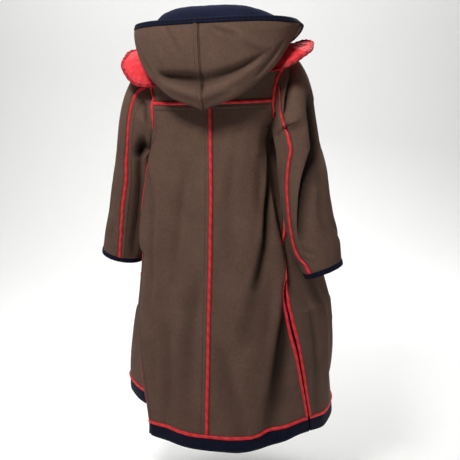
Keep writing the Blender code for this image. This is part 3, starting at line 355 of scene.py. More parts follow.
def vent_flare(angle, down, front):
    """How far a vent's edge stands out: a bell round the seam, growing downwards, with a curled back edge."""
    turned = (angle + math.pi) % (2 * math.pi) - math.pi
    left = turned > 0
    seam = np.where(left, seam_angle(down, 1), seam_angle(down, -1))
    near = hump((np.abs(turned) - seam) / math.radians(13.0))
    low = ease((down - VENT_TOP) / np.where(left, VENT_LEFT[2], VENT_RIGHT[2]))
    flare = np.where(left, VENT_LEFT[int(front)], VENT_RIGHT[int(front)]) * near * low
    edge = (seam - np.abs(turned)) * HEM_RADIUS + VENT_LAP_LEFT / 2
    curl = VENT_CURL * ease(1 - edge / VENT_CURL_WIDTH) * ease((down - VENT_LAP_FROM) / 0.10)
    return flare - (0.0 if front else np.where(left, curl, 0.0))


def back_surface(angle, down):
    """The body with its back panels' vent flare."""
    return body_point(angle, down, vent_flare(angle, down, False))


def front_surface(angle, down):
    """The body with its front panels' vent flare."""
    return body_point(angle, down, vent_flare(angle, down, True))


def pace(angle, down):
    """Metres of cloth for each radian round the body."""
    step = body_point(angle + EPSILON, down) - body_point(angle - EPSILON, down)
    return np.linalg.norm(step, axis=-1) / (2 * EPSILON)


LAP = 0.030
LAP_LIFT = 0.0042
LAP_BEND = 0.016
LAP_BEND_OUT = 0.020
FRONT_RISE = 0.080
FRONT_RISE_FROM = 0.75
FRONT_RISE_ANGLE = math.radians(70.0)


def ridden_up(down, share=1.0):
    """Where a point of the left front comes to lie when its hem rides up by a share of the whole."""
    return down - FRONT_RISE * share * ease((down - FRONT_RISE_FROM) / (HEM - FRONT_RISE_FROM))


def left_front_surface(angle, down):
    """The left front: it rides up towards the side, and it is lifted over the right front by the lap."""
    angle = np.asarray(angle, dtype=float)
    down = ridden_up(np.asarray(down, dtype=float), ease((math.pi - angle) / (math.pi - FRONT_RISE_ANGLE)))
    lift = LAP_LIFT * ease(((angle - math.pi) * pace(angle, down) + LAP + LAP_BEND_OUT) / LAP_BEND)
    return front_surface(angle, down) + normal_of(front_surface, angle, down) * lift[..., None]


turns = np.linspace(0, 2 * math.pi, 181)
ring = body_point(turns, np.full(turns.shape, 1.2))
print("round the hem:", round(float(np.linalg.norm(np.diff(ring, axis=0), axis=1).sum()), 2), "m")

# %% [markdown]
# ## From a grid of points to cloth
#
# A piece of cloth is a grid of points, moved in by the cloth's thickness for its inner face, and closed
# round its border. A Solidify modifier does the same, but closing the wall here keeps every piece one
# clean shell before any finish goes on. The rows and columns lie closer together beside a seam,
# where the cloth rolls over its stitched allowance.

# %% Making meshes from grids
LIFT = 0.0004
WOOL = 0.0030
SATIN = 0.0020
# Painted shade: a crease this deep darkens the wool fully, and the seam dips count this many times over.
FULL_FOLD_SHADE = 0.020
SEAM_FOLD_SHADE = 9.0
made_pieces = {}
made_sizes = {}


def grid_normals(points):
    """Unit normals of a grid: the cross product of its column and row differences."""
    return unit(np.cross(np.gradient(points, axis=1), np.gradient(points, axis=0)))


def grid_quads(rows, columns, start, closed):
    """Corner numbers of a grid's quads, with the last column joined to the first when closed."""
    across = np.arange(columns if closed else columns - 1)
    row, col = np.meshgrid(np.arange(rows - 1) * columns, across, indexing="ij")
    beside = (col + 1) % columns
    corners = (row + col, row + beside, row + columns + beside, row + columns + col)
    return start + np.stack(corners, axis=-1).reshape(-1, 4)


def add_piece(name, points, quads, look, smooth=40.0, uv=None, caps=(), fold=None):
    """Put points and quads into a mesh, turn the faces out, note the folds and give it a finish."""
    mesh = bpy.data.meshes.new(name)
    faces = [tuple(q) for q in quads.tolist()] + [tuple(c) for c in caps]
    mesh.from_pydata(points.reshape(-1, 3).tolist(), [], faces)
    if uv is not None:
        layer = mesh.uv_layers.new(name="cloth")
        loops = np.zeros(len(mesh.loops), dtype=np.int32)
        mesh.loops.foreach_get("vertex_index", loops)
        layer.data.foreach_set("uv", uv.reshape(-1, 2)[loops].ravel())
    if fold is not None:
        mesh.attributes.new("fold", "FLOAT", "POINT").data.foreach_set("value", fold.ravel())
    work = bmesh.new()
    work.from_mesh(mesh)
    bmesh.ops.recalc_face_normals(work, faces=work.faces)
    work.to_mesh(mesh)
    work.free()
    mesh.shade_smooth()
    mesh.set_sharp_from_angle(angle=math.radians(smooth))
    mesh.materials.append(look)
    piece = bpy.data.objects.new(name, mesh)
    bpy.context.collection.objects.link(piece)
    made_pieces[name] = piece
    return piece


def add_cloth(name, outer, inner, look, uv, rise=None):
    """A wall of cloth: the outer grid, the inner grid and the strips that close their borders.
    The fold attribute is how deep the creases are, as a share of a full fold; the wool's colour takes painted shade
    from it."""
    rows, columns = outer.shape[:2]
    sizes = (np.linalg.norm(np.diff(outer, axis=k), axis=-1).sum(axis=k) for k in (1, 0))
    made_sizes[name] = [float(size.max()) for size in sizes]
    count = rows * columns
    index = np.arange(count).reshape(rows, columns)
    quads = [grid_quads(rows, columns, 0, False), grid_quads(rows, columns, count, False)[:, ::-1]]
    for line in (index[0], index[-1][::-1], index[::-1, 0], index[:, -1]):
        quads.append(np.stack([line[1:], line[:-1], line[:-1] + count, line[1:] + count], axis=-1))
    both = np.concatenate([outer.reshape(-1, 3), inner.reshape(-1, 3)])
    uv = np.concatenate([uv.reshape(-1, 2), uv.reshape(-1, 2)])
    fold = None if rise is None else np.tile(np.clip(-rise / FULL_FOLD_SHADE, 0.0, 1.0).ravel(), 2)
    return add_piece(name, both, np.concatenate(quads), look, uv=uv, fold=fold)


def add_sweep(name, grid, look, closed=False, smooth=60.0, uv=None):
    """A closed outline carried along a path: rows follow the path, columns go round the outline."""
    rows, columns = grid.shape[:2]
    if closed:
        grid = np.concatenate([grid, grid[:1]])
        quads = grid_quads(rows + 1, columns, 0, True) % (rows * columns)
        return add_piece(name, grid[:-1], quads, look, smooth, uv)
    caps = (range(columns - 1, -1, -1), range((rows - 1) * columns, rows * columns))
    return add_piece(name, grid, grid_quads(rows, columns, 0, True), look, smooth, uv, caps)


def lengths_along(points):
    """Distance along each column of a grid from its first row."""
    steps = np.linalg.norm(np.diff(points, axis=0), axis=-1)
    return np.concatenate([np.zeros((1,) + steps.shape[1:]), np.cumsum(steps, axis=0)])


def own(piece, nodes):
    """Hang a piece on the coat's root and hide the solids of the frame that it stands for."""
    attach(piece, "root")
    if nodes:
        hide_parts(*nodes)
    return piece


print("mesh helpers ready")

# %% [markdown]
# ## Finishes
#
# Melton is a woollen cloth that is fulled until its weave disappears under a short nap, so it has no
# gloss, a soft sheen at grazing angles and a faint mottle. Such a finish could be scanned. Noise at
# three real scales gives it as well and stays sharp from near: clouds of 60 mm, mottle of 9 mm and
# fibres, drawn 3 mm long so that they show. Piping and bindings are satin and ribbed tape.

# %% Colours and a node helper
def colour(code):
    """An sRGB hex colour as linear light: the standard curve, channel by channel."""
    values = np.array([int(code[i:i + 2], 16) for i in (1, 3, 5)]) / 255
    linear = np.where(values <= 0.04045, values / 12.92, ((values + 0.055) / 1.055) ** 2.4)
    return (*linear.tolist(), 1.0)


def add_node(tree, kind, inputs=None, stops=(), **settings):
    """Add a node, set its properties and ramp stops, and link or set its inputs."""
    made = tree.nodes.new(kind)
    for name, value in settings.items():
        setattr(made, name, value)
    if stops:
        elements = made.color_ramp.elements
        elements.remove(elements[1])
        elements[0].position, elements[0].color = stops[0][0], colour(stops[0][1])
        for place, code in stops[1:]:
            elements.new(place).color = colour(code)
    for key, value in (inputs or {}).items():
        if isinstance(value, bpy.types.NodeSocket):
            tree.links.new(value, made.inputs[key])
        else:
            made.inputs[key].default_value = value
    return made


def new_finish(name, **shader_inputs):
    """A material with its Principled shader, whose plain values are set on its own sockets."""
    look = bpy.data.materials.new(name)
    look.use_nodes = True
    shader = look.node_tree.nodes["Principled BSDF"]
    for key, value in shader_inputs.items():
        shader.inputs[key.replace("_", " ")].default_value = value
    return look, look.node_tree, shader


def millimetres(size):
    """Noise scale whose features are about this many millimetres wide."""
    return 1000.0 / size


def add_noise(tree, place, size, detail, **more):
    """Noise whose features are about this many millimetres wide."""
    inputs = {"Vector": place, "Scale": millimetres(size), "Detail": detail, **more}
    return add_node(tree, "ShaderNodeTexNoise", inputs).outputs["Fac"]


def add_mix(tree, share, first, second):
    """Two values mixed: share is the second one's."""
    return add_node(tree, "ShaderNodeMix", {0: share, 2: first, 3: second}, data_type="FLOAT").outputs[0]


def add_ramp(tree, value, *stops):
    """A value turned into a colour by stops of place and hex colour."""
    return add_node(tree, "ShaderNodeValToRGB", {"Fac": value}, stops=stops).outputs["Color"]


def add_bump(tree, height, strength, distance, **under):
    """A small relief in the light, on another one if that is given as Normal."""
    inputs = {"Height": height, "Strength": strength, "Distance": distance, **under}
    return add_node(tree, "ShaderNodeBump", inputs).outputs["Normal"]


def object_place(tree):
    """Object coordinates, in metres on the piece."""
    return add_node(tree, "ShaderNodeTexCoord").outputs["Object"]


print("white is", colour("#ffffff"))

# %% Wool and fleece
FOLD_SHADE_MIX = 0.92
GENTLE_SPECULAR = 0.25
NAP_STRETCH = (1.0, 1.0, 0.45)


def fulled_wool(name, deep, shade, body, light, fibre, sheen_tint, depth):
    """Fulled cloth: clouds and mottle move the colour, short upright fibres roughen the face, and in a fold
    the colour is mixed towards the deep one by the fold attribute: painted shade in creases and seam dips."""
    look, tree, shader = new_finish(
        name, Roughness=0.93, Sheen_Weight=0.10, Sheen_Roughness=0.50, Sheen_Tint=colour(sheen_tint),
    )
    shader.inputs["Specular IOR Level"].default_value = GENTLE_SPECULAR
    place = object_place(tree)
    upright = add_node(tree, "ShaderNodeMapping", {"Vector": place, "Scale": NAP_STRETCH}).outputs["Vector"]
    clouds = add_noise(tree, place, 60, 3.0)
    mottle = add_noise(tree, place, 9, 5.0)
    nap = add_noise(tree, upright, fibre, 6.0, Roughness=0.7)
    mixed = add_mix(tree, 0.50, add_mix(tree, 0.45, clouds, mottle), nap)
    ramp = add_ramp(tree, mixed, (0.34, shade), (0.50, body), (0.68, light))
    # Painted shade: the fold attribute mixes the colour towards the deep colour in creases and seam dips.
    fold = add_node(tree, "ShaderNodeAttribute", attribute_name="fold").outputs["Fac"]
    share = add_node(tree, "ShaderNodeMath", {0: fold, 1: FOLD_SHADE_MIX}, operation="MULTIPLY").outputs[0]
    fold_shaded = add_node(tree, "ShaderNodeMix", {0: share, 6: ramp, 7: colour(deep)}, data_type="RGBA")
    tree.links.new(fold_shaded.outputs[2], shader.inputs["Base Color"])
    bump = add_bump(tree, nap, 0.55, depth)
    tree.links.new(add_bump(tree, mottle, 0.35, depth * 2, Normal=bump), shader.inputs["Normal"])
    return look


# Brown melton: painted shade in its folds, then shade, body and light of its mottle. Navy fleece has a deeper, brushed
# nap.
melton = fulled_wool("brown_melton_wool", "#1c110c", "#5a4438", "#674f43", "#745a4d", 3.0, "#a08472", 0.0007)
fleece = fulled_wool("navy_brushed_fleece", "#080a16", "#0f1326", "#141930", "#1b213c", 2.2, "#39426a", 0.0010)
print("finishes:", melton.name, fleece.name)

# %% Tape, piping, satin, thread and horn
TAPE_SPECULAR = 0.20
SATIN_SPECULAR = 0.30
# The wave texture's bands turn by this many radians for each unit of its place.
WAVE_RADIANS = 20.0
FINE_RELIEF = 0.0004
PUCKER_RELIEF = 0.0022


def ribbed_tape(name, dark, light, rib, gloss, sheen, direction, depth):
    """Woven tape: soft ribs across its length, read from the piece's own map in metres. rib is the
    millimetres for each radian of the wave, so a whole rib is about six times as wide, and twelve times
    in the diagonal direction. That is coarser than real tape, so the ribs show from where one stands."""
    look, tree, shader = new_finish(name, Roughness=gloss, Sheen_Weight=sheen, Sheen_Roughness=0.4)
    shader.inputs["Specular IOR Level"].default_value = TAPE_SPECULAR
    place = add_node(tree, "ShaderNodeUVMap", uv_map="cloth").outputs["UV"]
    inputs = {"Vector": place, "Scale": millimetres(rib) / WAVE_RADIANS, "Distortion": 0.4}
    ribs = add_node(tree, "ShaderNodeTexWave", inputs, wave_type="BANDS", bands_direction=direction)
    mixed = add_mix(tree, 0.35, add_noise(tree, object_place(tree), 14, 4.0), ribs.outputs["Fac"])
    tree.links.new(add_ramp(tree, mixed, (0.30, dark), (0.65, light)), shader.inputs["Base Color"])
    tree.links.new(add_bump(tree, ribs.outputs["Fac"], depth, FINE_RELIEF), shader.inputs["Normal"])
    return look


def satin_cloth(name, dark, light):
    """Satin: floats lie side by side, so it is smooth and glossy, with small puckers in the light."""
    look, tree, shader = new_finish(name, Roughness=0.50, Sheen_Weight=0.02, Sheen_Roughness=0.3)
    shader.inputs["Specular IOR Level"].default_value = SATIN_SPECULAR
    place = object_place(tree)
    puckers, floats = add_noise(tree, place, 16, 3.0), add_noise(tree, place, 1.6, 2.0)
    tree.links.new(add_ramp(tree, puckers, (0.35, dark), (0.62, light)), shader.inputs["Base Color"])
    bump = add_bump(tree, puckers, 0.5, PUCKER_RELIEF)
    tree.links.new(add_bump(tree, floats, 0.12, FINE_RELIEF, Normal=bump), shader.inputs["Normal"])
    return look


def thread(name, code):
    """Sewing thread: two plies twisted, with a low gloss."""
    look, tree, shader = new_finish(name, Roughness=0.6)
    plies = add_noise(tree, object_place(tree), 1.5, 2.0)
    tree.links.new(add_ramp(tree, plies, (0.0, "#000000"), (0.7, code)), shader.inputs["Base Color"])
    return look


def polished_horn(name):
    """Horn: layers of keratin drawn out along the toggle, pale and dark, under a polish."""
    look, tree, shader = new_finish(name, Roughness=0.28, Coat_Weight=0.35, Coat_Roughness=0.12)
    inputs = {"Vector": object_place(tree), "Scale": (0.25, 1.0, 1.0)}
    drawn = add_node(tree, "ShaderNodeMapping", inputs).outputs["Vector"]
    streaks = add_noise(tree, drawn, 4, 6.0, Distortion=1.2)
    ramp = add_ramp(tree, streaks, (0.30, "#2a170c"), (0.48, "#6b4424"), (0.66, "#b58a55"))
    tree.links.new(ramp, shader.inputs["Base Color"])
    return look


# Red satin folded over cord, navy grosgrain tape, darker red tape on the flaps' rims, and plain satin.
red_piping = ribbed_tape("red_satin_piping", "#e12d35", "#f23d44", 2.4, 0.50, 0.03, "DIAGONAL", 0.15)
navy_tape = ribbed_tape("navy_ribbed_binding", "#090b1c", "#10152e", 2.2, 0.85, 0.02, "Y", 0.12)
red_bias_tape = ribbed_tape("red_satin_bias_tape", "#93101a", "#b81d27", 2.0, 0.42, 0.05, "DIAGONAL", 0.30)
red_satin = satin_cloth("red_satin", "#d8232d", "#f0353d")
brown_thread = thread("brown_thread", "#4a382e")
red_thread = thread("red_thread", "#d02830")
navy_thread = thread("navy_thread", "#232c50")
horn = polished_horn("polished_horn")
print("finishes in all:", len(bpy.data.materials))

# %% [markdown]
# ## Back, yoke and fronts
#
# The back is two panels that meet at a piped centre seam under a yoke. Beside each seam the cloth dips,
# then lies thicker over the allowance that is pressed to one side and stitched down. Modelling that
# with loop cuts would be slow, so each panel gets columns at fixed distances from its edges, and the
# relief is one function of the distance from the seam.

# %% Seam relief and panel columns
ALLOWANCE = 0.0185
STITCH_LINE = 0.0163
HOOD_SEAM_SHARE = 0.62
YOKE_STITCH_SHARE = 1.22
SEAM_DIP = 0.0010
SEAM_DIP_HALF = 0.0018
CORD_SIDE = 0.0056
CORD_DIP = 0.0012
CORD_DIP_HALF = 0.0014
ALLOWANCE_RISE = 0.0016
ALLOWANCE_STEP = 0.003
GROOVE = 0.0018
GROOVE_HALF = 0.0012
SPACING = 0.0065
ROWS_APART = 0.0007
BESIDE_SEAM = np.array([
    0.0, 0.0020, 0.0042, 0.0056, 0.0070, 0.0115, 0.0148, 0.0159, 0.0168, 0.0178, 0.0192, 0.0215, 0.026,
])
PLAIN_EDGE = np.array([0.0, 0.0015, 0.004, 0.009, 0.015])


def seam_relief(distance, stitched):
    """Dip at the seam, a raised allowance that ends in a soft step, and a groove under its stitches."""
    relief = -SEAM_DIP * hump(distance / SEAM_DIP_HALF)
    relief = relief - CORD_DIP * hump((distance - CORD_SIDE) / CORD_DIP_HALF)
    if stitched:
        relief = relief + ALLOWANCE_RISE * ease((ALLOWANCE + 0.001 - distance) / ALLOWANCE_STEP)
        relief = relief - GROOVE * hump((distance - STITCH_LINE) / GROOVE_HALF)
    return relief


def armhole_edge(step, front, side):
    """Angle of the armhole's back or front edge, read from the chart between shoulder and underarm."""
    name = ("left_" if side > 0 else "right_") + ("front" if front else "back")
    return np.radians(smooth_read(ARMHOLE, ARMHOLE_COLUMNS, "step", name, step))


def edge_angle(down, front, side):
    """Angle at which a panel ends: the shoulder seam, the armhole, then the side seam or vent."""
    share = np.clip((down - ARMHOLE_TOP) / (ARMHOLE_LOW - ARMHOLE_TOP), 0.0, 1.0)
    inside = armhole_edge(np.arccos(1 - 2 * share) / math.pi * ARMHOLE_STEPS, front, side)
    below = np.where(down > ARMHOLE_LOW, seam_angle(down, side), inside)
    edge = np.where(down < ARMHOLE_TOP, SHOULDER_ANGLE, below)
    half = np.where(down > ARMHOLE_LOW, vent_open(down, side), GAP / 2)
    return edge + (half if front else -half) / pace(edge * side, down)


def level_of(rows, front, side):
    """Rows of the chart that a panel's edge follows: the left front's edge rides up with its hem."""
    return ridden_up(rows) if front and side > 0 else rows


def panel_angles(start, end, near, far, down, side):
    """Columns at fixed distances beside both edges and at even shares of what lies between them."""
    sign = np.sign(end - start)[:, None]
    first = start[:, None] + sign * near[None, :] / pace(start * side, down)[:, None]
    last = end[:, None] - sign * far[None, ::-1] / pace(end * side, down)[:, None]
    width = np.abs(last[:, 0] - first[:, -1]) * pace((start + end) / 2 * side, down)
    share = np.linspace(0.0, 1.0, int(width.max() / SPACING) + 2)[1:-1]
    between = first[:, -1:] + (last[:, :1] - first[:, -1:]) * share[None, :]
    return np.concatenate([first, between, last], axis=1)


def body_rows(begin, end, extra=()):
    """Even rows, closer ones where the armhole turns, and any extra rows that a seam needs."""
    turn = np.linspace(0.0, math.pi, 33)
    armhole = ARMHOLE_TOP + (ARMHOLE_LOW - ARMHOLE_TOP) * (1 - np.cos(turn)) / 2
    even = np.linspace(begin, end, int((end - begin) / SPACING) + 1)
    rows = np.concatenate([even, armhole, np.array(extra)])
    rows = np.unique(np.round(rows[(rows > begin) & (rows < end)], 6))
    rows = rows[np.concatenate([[True], np.diff(rows) > ROWS_APART])]
    rows = rows[(rows > begin + 0.0006) & (rows < end - 0.0006)]
    return np.concatenate([[begin], rows, [end]])


print("columns beside a seam:", len(BESIDE_SEAM))

# %% Panels of the body
def body_panel(name, surface, angles, rows, relief):
    """A panel on the body: its grid, moved out by the relief and in by the cloth's thickness."""
    down = np.repeat(rows[:, None], angles.shape[1], axis=1)
    points = surface(angles, down)
    normals = grid_normals(points) * np.sign(angles[0, -1] - angles[0, 0])
    outer = points + normals * relief[..., None]
    across = np.linalg.norm(np.diff(points, axis=1), axis=-1)
    across = np.concatenate([np.zeros((len(rows), 1)), np.cumsum(across, axis=1)], axis=1)
    # Painted shade: crease depth and seam dips darken the wool's colour through the fold attribute.
    rise = creases_at(BODY_CREASES, np.degrees(angles), down, BODY_PACES)
    rise = rise + np.minimum(relief, 0.0) * SEAM_FOLD_SHADE
    uv = np.stack([across, down], axis=-1)
    return add_cloth(name, outer, points - normals * WOOL, melton, uv, rise)


below_yoke = YOKE_SEAM + GAP + BESIDE_SEAM * YOKE_STITCH_SHARE
back_rows = body_rows(YOKE_SEAM + GAP / 2, HEM_SEAM - GAP / 2, below_yoke)
for side, name in ((1, "left"), (-1, "right")):
    start = GAP / 2 / pace(np.zeros(back_rows.shape), back_rows)
    end = edge_angle(back_rows, False, side)
    angles = panel_angles(start, end, BESIDE_SEAM, BESIDE_SEAM, back_rows, side)
    relief = np.zeros(angles.shape)
    relief[:, :len(BESIDE_SEAM)] += seam_relief(BESIDE_SEAM, side > 0)
    relief[:, -len(BESIDE_SEAM):] += seam_relief(BESIDE_SEAM[::-1], True)
    relief += seam_relief((back_rows - back_rows[0]) / YOKE_STITCH_SHARE, True)[:, None]
    piece = body_panel("cloth_back_" + name, back_surface, angles * side, back_rows, relief)
    own(piece, ["back_" + name])

yoke_rows = body_rows(0.0, YOKE_SEAM - GAP / 2)
middle = np.zeros(yoke_rows.shape)
left, right = (
    panel_angles(middle, edge_angle(yoke_rows, False, side), np.zeros(1), BESIDE_SEAM, yoke_rows, side)
    for side in (1, -1)
)
angles = np.concatenate([-right[:, :0:-1], left], axis=1)
relief = np.zeros(angles.shape) + seam_relief(yoke_rows[-1] - yoke_rows, False)[:, None]
yoke = body_panel("cloth_back_yoke", back_surface, angles, yoke_rows, relief)
own(yoke, ["back_yoke"])


def front_edge(rows, side):
    """Angle of a front's free edge: the left front runs further past the middle than the right."""
    share = 1.0 if side > 0 else 0.9
    return math.pi + share * LAP / pace(np.full(rows.shape, math.pi), rows)


front_rows = body_rows(0.0, HEM_SEAM - GAP / 2)
for side, name, surface in ((1, "left", left_front_surface), (-1, "right", front_surface)):
    start = front_edge(front_rows, side)
    end = edge_angle(level_of(front_rows, True, side), True, side)
    angles = panel_angles(start, end, PLAIN_EDGE, BESIDE_SEAM, front_rows, side)
    relief = np.zeros(angles.shape)
    relief[:, -len(BESIDE_SEAM):] += seam_relief(BESIDE_SEAM[::-1], False)
    piece = body_panel("cloth_front_" + name, surface, angles * side, front_rows, relief)
    own(piece, ["front_shoulder_" + name, "front_" + name, "front_skirt_" + name])
print("panels:", len(made_pieces))

# %% [markdown]
# ## Sleeves
#
# A sleeve leaves the armhole's edge, fills out over the arm and runs down in ovals to the cuff. It is a
# tube of two parameters: the turn round the arm and the way along it. Near the armhole each point
# follows a cubic from the edge to the first oval, so the head stays joined to the coat.

# %% Chart of the sleeves
SLEEVE_COLUMNS = (
    "along", "height", "left_side", "left_back", "left_twist", "left_wide",
    "right_side", "right_back", "right_twist", "right_wide", "half_deep",
)
SLEEVE = (
    (0.30, -0.335, 0.265, 0.005, 24.0, 0.064, 0.229, 0.040, 40.0, 0.062, 0.080),
    (0.48, -0.418, 0.283, -0.004, 30.0, 0.068, 0.244, 0.058, 52.0, 0.066, 0.080),
    (0.66, -0.508, 0.304, -0.010, 30.0, 0.069, 0.259, 0.074, 58.0, 0.069, 0.079),
    (0.84, -0.595, 0.331, -0.012, 26.0, 0.067, 0.279, 0.085, 60.0, 0.069, 0.075),
    (0.92, -0.632, 0.340, -0.012, 25.0, 0.066, 0.290, 0.089, 60.0, 0.062, 0.073),
    (1.00, -0.665, 0.349, -0.012, 24.0, 0.065, 0.302, 0.092, 60.0, 0.054, 0.071),
)
# Wide folds: turn, drift, along_from, along_to, half_turn, rise.
SLEEVE_FOLDS = (
    (60.0, 20.0, 0.08, 0.75, 16.0, -0.008),
    (125.0, -10.0, 0.15, 0.80, 17.0, 0.006),
    (200.0, 25.0, 0.20, 0.95, 20.0, -0.008),
    (300.0, -25.0, 0.15, 0.90, 18.0, -0.007),
)
SLEEVE_PACES = (0.00122, 0.60)
LEFT_CREASES = (
    (70.0, 0.080, 92.0, 0.055, 116.0, 0.050, 0.008, 0.010, -0.0100, 0.0),
    (78.0, 0.130, 102.0, 0.095, 126.0, 0.060, 0.008, 0.009, 0.0060, 0.0),
    (92.0, 0.300, 111.0, 0.235, 138.0, 0.140, 0.014, 0.020, -0.0320, 0.12),
    (112.0, 0.220, 101.0, 0.520, 104.0, 0.960, 0.012, 0.014, -0.0170, 0.10),
    (48.0, 0.225, 40.0, 0.290, 35.0, 0.370, 0.004, 0.005, 0.0030, 0.40),
    (47.0, 0.235, 56.0, 0.290, 62.0, 0.350, 0.004, 0.005, 0.0026, 0.40),
    (26.0, 0.420, 20.0, 0.560, 24.0, 0.720, 0.009, 0.010, -0.0040, 0.40),
    (50.0, 0.740, 38.0, 0.810, 22.0, 0.860, 0.011, 0.013, -0.0028, 0.20),
    (88.0, 0.740, 76.0, 0.790, 66.0, 0.830, 0.010, 0.010, -0.0030, 0.30),
    (345.0, 0.300, 352.0, 0.460, 346.0, 0.660, 0.010, 0.012, -0.0060, 0.45),
    (310.0, 0.140, 296.0, 0.240, 276.0, 0.300, 0.007, 0.010, -0.0080, 0.50),
    (300.0, 0.380, 290.0, 0.520, 262.0, 0.640, 0.008, 0.010, -0.0070, 0.50),
    (320.0, 0.700, 300.0, 0.800, 268.0, 0.840, 0.008, 0.010, -0.0060, 0.50),
    (210.0, 0.380, 190.0, 0.500, 160.0, 0.580, 0.008, 0.010, -0.0060, 0.45),
)
RIGHT_CREASES = (
    (41.0, 0.010, 41.0, 0.085, 56.0, 0.165, 0.0055, 0.0065, -0.0150, -0.30),
    (78.0, 0.200, 54.0, 0.232, 22.0, 0.230, 0.0060, 0.0100, -0.0120, 0.40),
    (110.0, 0.155, 96.0, 0.190, 80.0, 0.212, 0.0070, 0.0060, -0.0060, 0.0),
    (-14.0, 0.150, 11.0, 0.400, 42.0, 0.790, 0.0230, 0.0100, -0.0330, -0.15),
    (-18.0, 0.180, -12.0, 0.330, 0.0, 0.540, 0.0160, 0.0140, -0.0120, 0.0),
    (46.0, 0.790, 38.0, 0.840, 18.0, 0.870, 0.0050, 0.0080, -0.0055, 0.55),
    (62.0, 0.860, 50.0, 0.890, 34.0, 0.930, 0.0050, 0.0070, -0.0040, 0.50),
    (-14.0, 0.460, -8.0, 0.620, -16.0, 0.800, 0.0100, 0.0110, -0.0050, -0.45),
    (-34.0, 0.280, -28.0, 0.420, -36.0, 0.620, 0.0090, 0.0110, 0.0045, 0.40),
    (78.0, 0.420, 72.0, 0.520, 76.0, 0.640, 0.0080, 0.0090, -0.0035, 0.40),
    (310.0, 0.140, 296.0, 0.240, 276.0, 0.300, 0.0070, 0.0100, -0.0080, 0.50),
    (302.0, 0.400, 286.0, 0.520, 258.0, 0.620, 0.0080, 0.0100, -0.0070, 0.50),
    (322.0, 0.700, 300.0, 0.790, 266.0, 0.840, 0.0080, 0.0100, -0.0060, 0.50),
    (214.0, 0.360, 194.0, 0.480, 164.0, 0.560, 0.0080, 0.0100, -0.0060, 0.45),
)
SLEEVE_HEAD = 0.30
HEAD_FULLNESS = {1: 1.2, -1: 0.72}
DRIFT_COLUMNS = ("along", "left", "right")
DRIFT = (
    (0.00, 0.0, 0.0),
    (0.05, -8.0, 8.0),
    (0.11, -9.5, 16.0),
    (0.18, -9.5, 7.0),
    (0.25, -9.5, -9.0),
    (0.31, -10.5, -14.0),
    (0.37, -11.5, -9.5),
    (0.50, -10.5, -1.5),
    (0.64, -9.5, 1.0),
    (0.71, -5.5, 3.5),
    (0.80, 2.0, 6.0),
    (0.87, 6.5, 0.0),
    (0.93, 9.0, -12.0),
    (1.00, 13.0, -10.0),
)
SEAM_TURN = math.radians(67.5)
UNDER_SEAM_TURN = math.radians(225.0)
SEAM_REACH = 0.03
TWIST_TURN = math.radians(55.0)
TWIST_RUN = 0.40
LEAVE_SIDE = 0.45
LEAVE_BACK = 0.22
LEAVE_DOWN = 0.85
LEAVE_TOP = 0.35
ARM_RADIUS = 0.07
NEARER = 0.02
SLEEVE_RIPPLE = 0.0008
print("sleeve ovals:", len(SLEEVE))


# %% The sleeve's surface
def armhole_point(turn, side):
    """The armhole's edge, from the shoulder round the back to the underarm and up the front."""
    turn = np.asarray(turn, dtype=float) % (2 * math.pi)
    behind = turn <= math.pi
    turn = np.where(behind, turn, 2 * math.pi - turn)
    down = ARMHOLE_TOP + (ARMHOLE_LOW - ARMHOLE_TOP) * (1 - np.cos(turn)) / 2
    step = turn / math.pi * ARMHOLE_STEPS
    angle = np.where(behind, armhole_edge(step, False, side), armhole_edge(step, True, side))
    centre_down = (ARMHOLE_TOP + ARMHOLE_LOW) / 2
    centre_angle = sum(armhole_edge(ARMHOLE_STEPS / 2, front, side) for front in (False, True)) / 2
    point = body_point(angle * side, down)
    inner_angle = angle + (centre_angle - angle) * NEARER
    nearer = body_point(inner_angle * side, down + (centre_down - down) * NEARER)
    return point, unit(nearer - point), normal_of(body_point, angle * side, down)


def sleeve_ring(turn, along, side):
    """An oval across the arm: its centre, twist, width and depth are read from the chart."""
    hand = "left_" if side > 0 else "right_"

    def read(name, place):
        return smooth_read(SLEEVE, SLEEVE_COLUMNS, "along", name, place)
    arm = (hand + "side", hand + "back", "height")
    upper = ((1 + np.cos(turn - TWIST_TURN)) / 2) ** 1.5
    share = upper + (1 - upper) * ease((along - SLEEVE_HEAD) / TWIST_RUN)
    turn = turn + share * np.radians(read(hand + "twist", along))
    centre = np.stack([read(name, along) for name in arm], axis=-1)
    ahead = np.minimum(along + 0.01, 1.0)
    behind = np.maximum(ahead - 0.02, SLEEVE_HEAD)
    axis = unit(np.stack([read(n, ahead) - read(n, behind) for n in arm], axis=-1))
    outward = unit(np.stack([-axis[..., 2], axis[..., 1] * 0, axis[..., 0]], axis=-1))
    rear = unit(np.cross(outward, axis))
    rear = rear * np.sign(rear[..., 1:2])
    point = centre + outward * (read(hand + "wide", along) * np.cos(turn))[..., None]
    point = point + rear * (read("half_deep", along) * np.sin(turn))[..., None]
    return point * np.array([side, 1, 1]), axis * np.array([side, 1, 1])


def sleeve_creases(turn, along, side):
    """How far the creases of one sleeve move its cloth."""
    table = LEFT_CREASES if side > 0 else RIGHT_CREASES
    return creases_at(table, np.degrees(turn), along, SLEEVE_PACES)


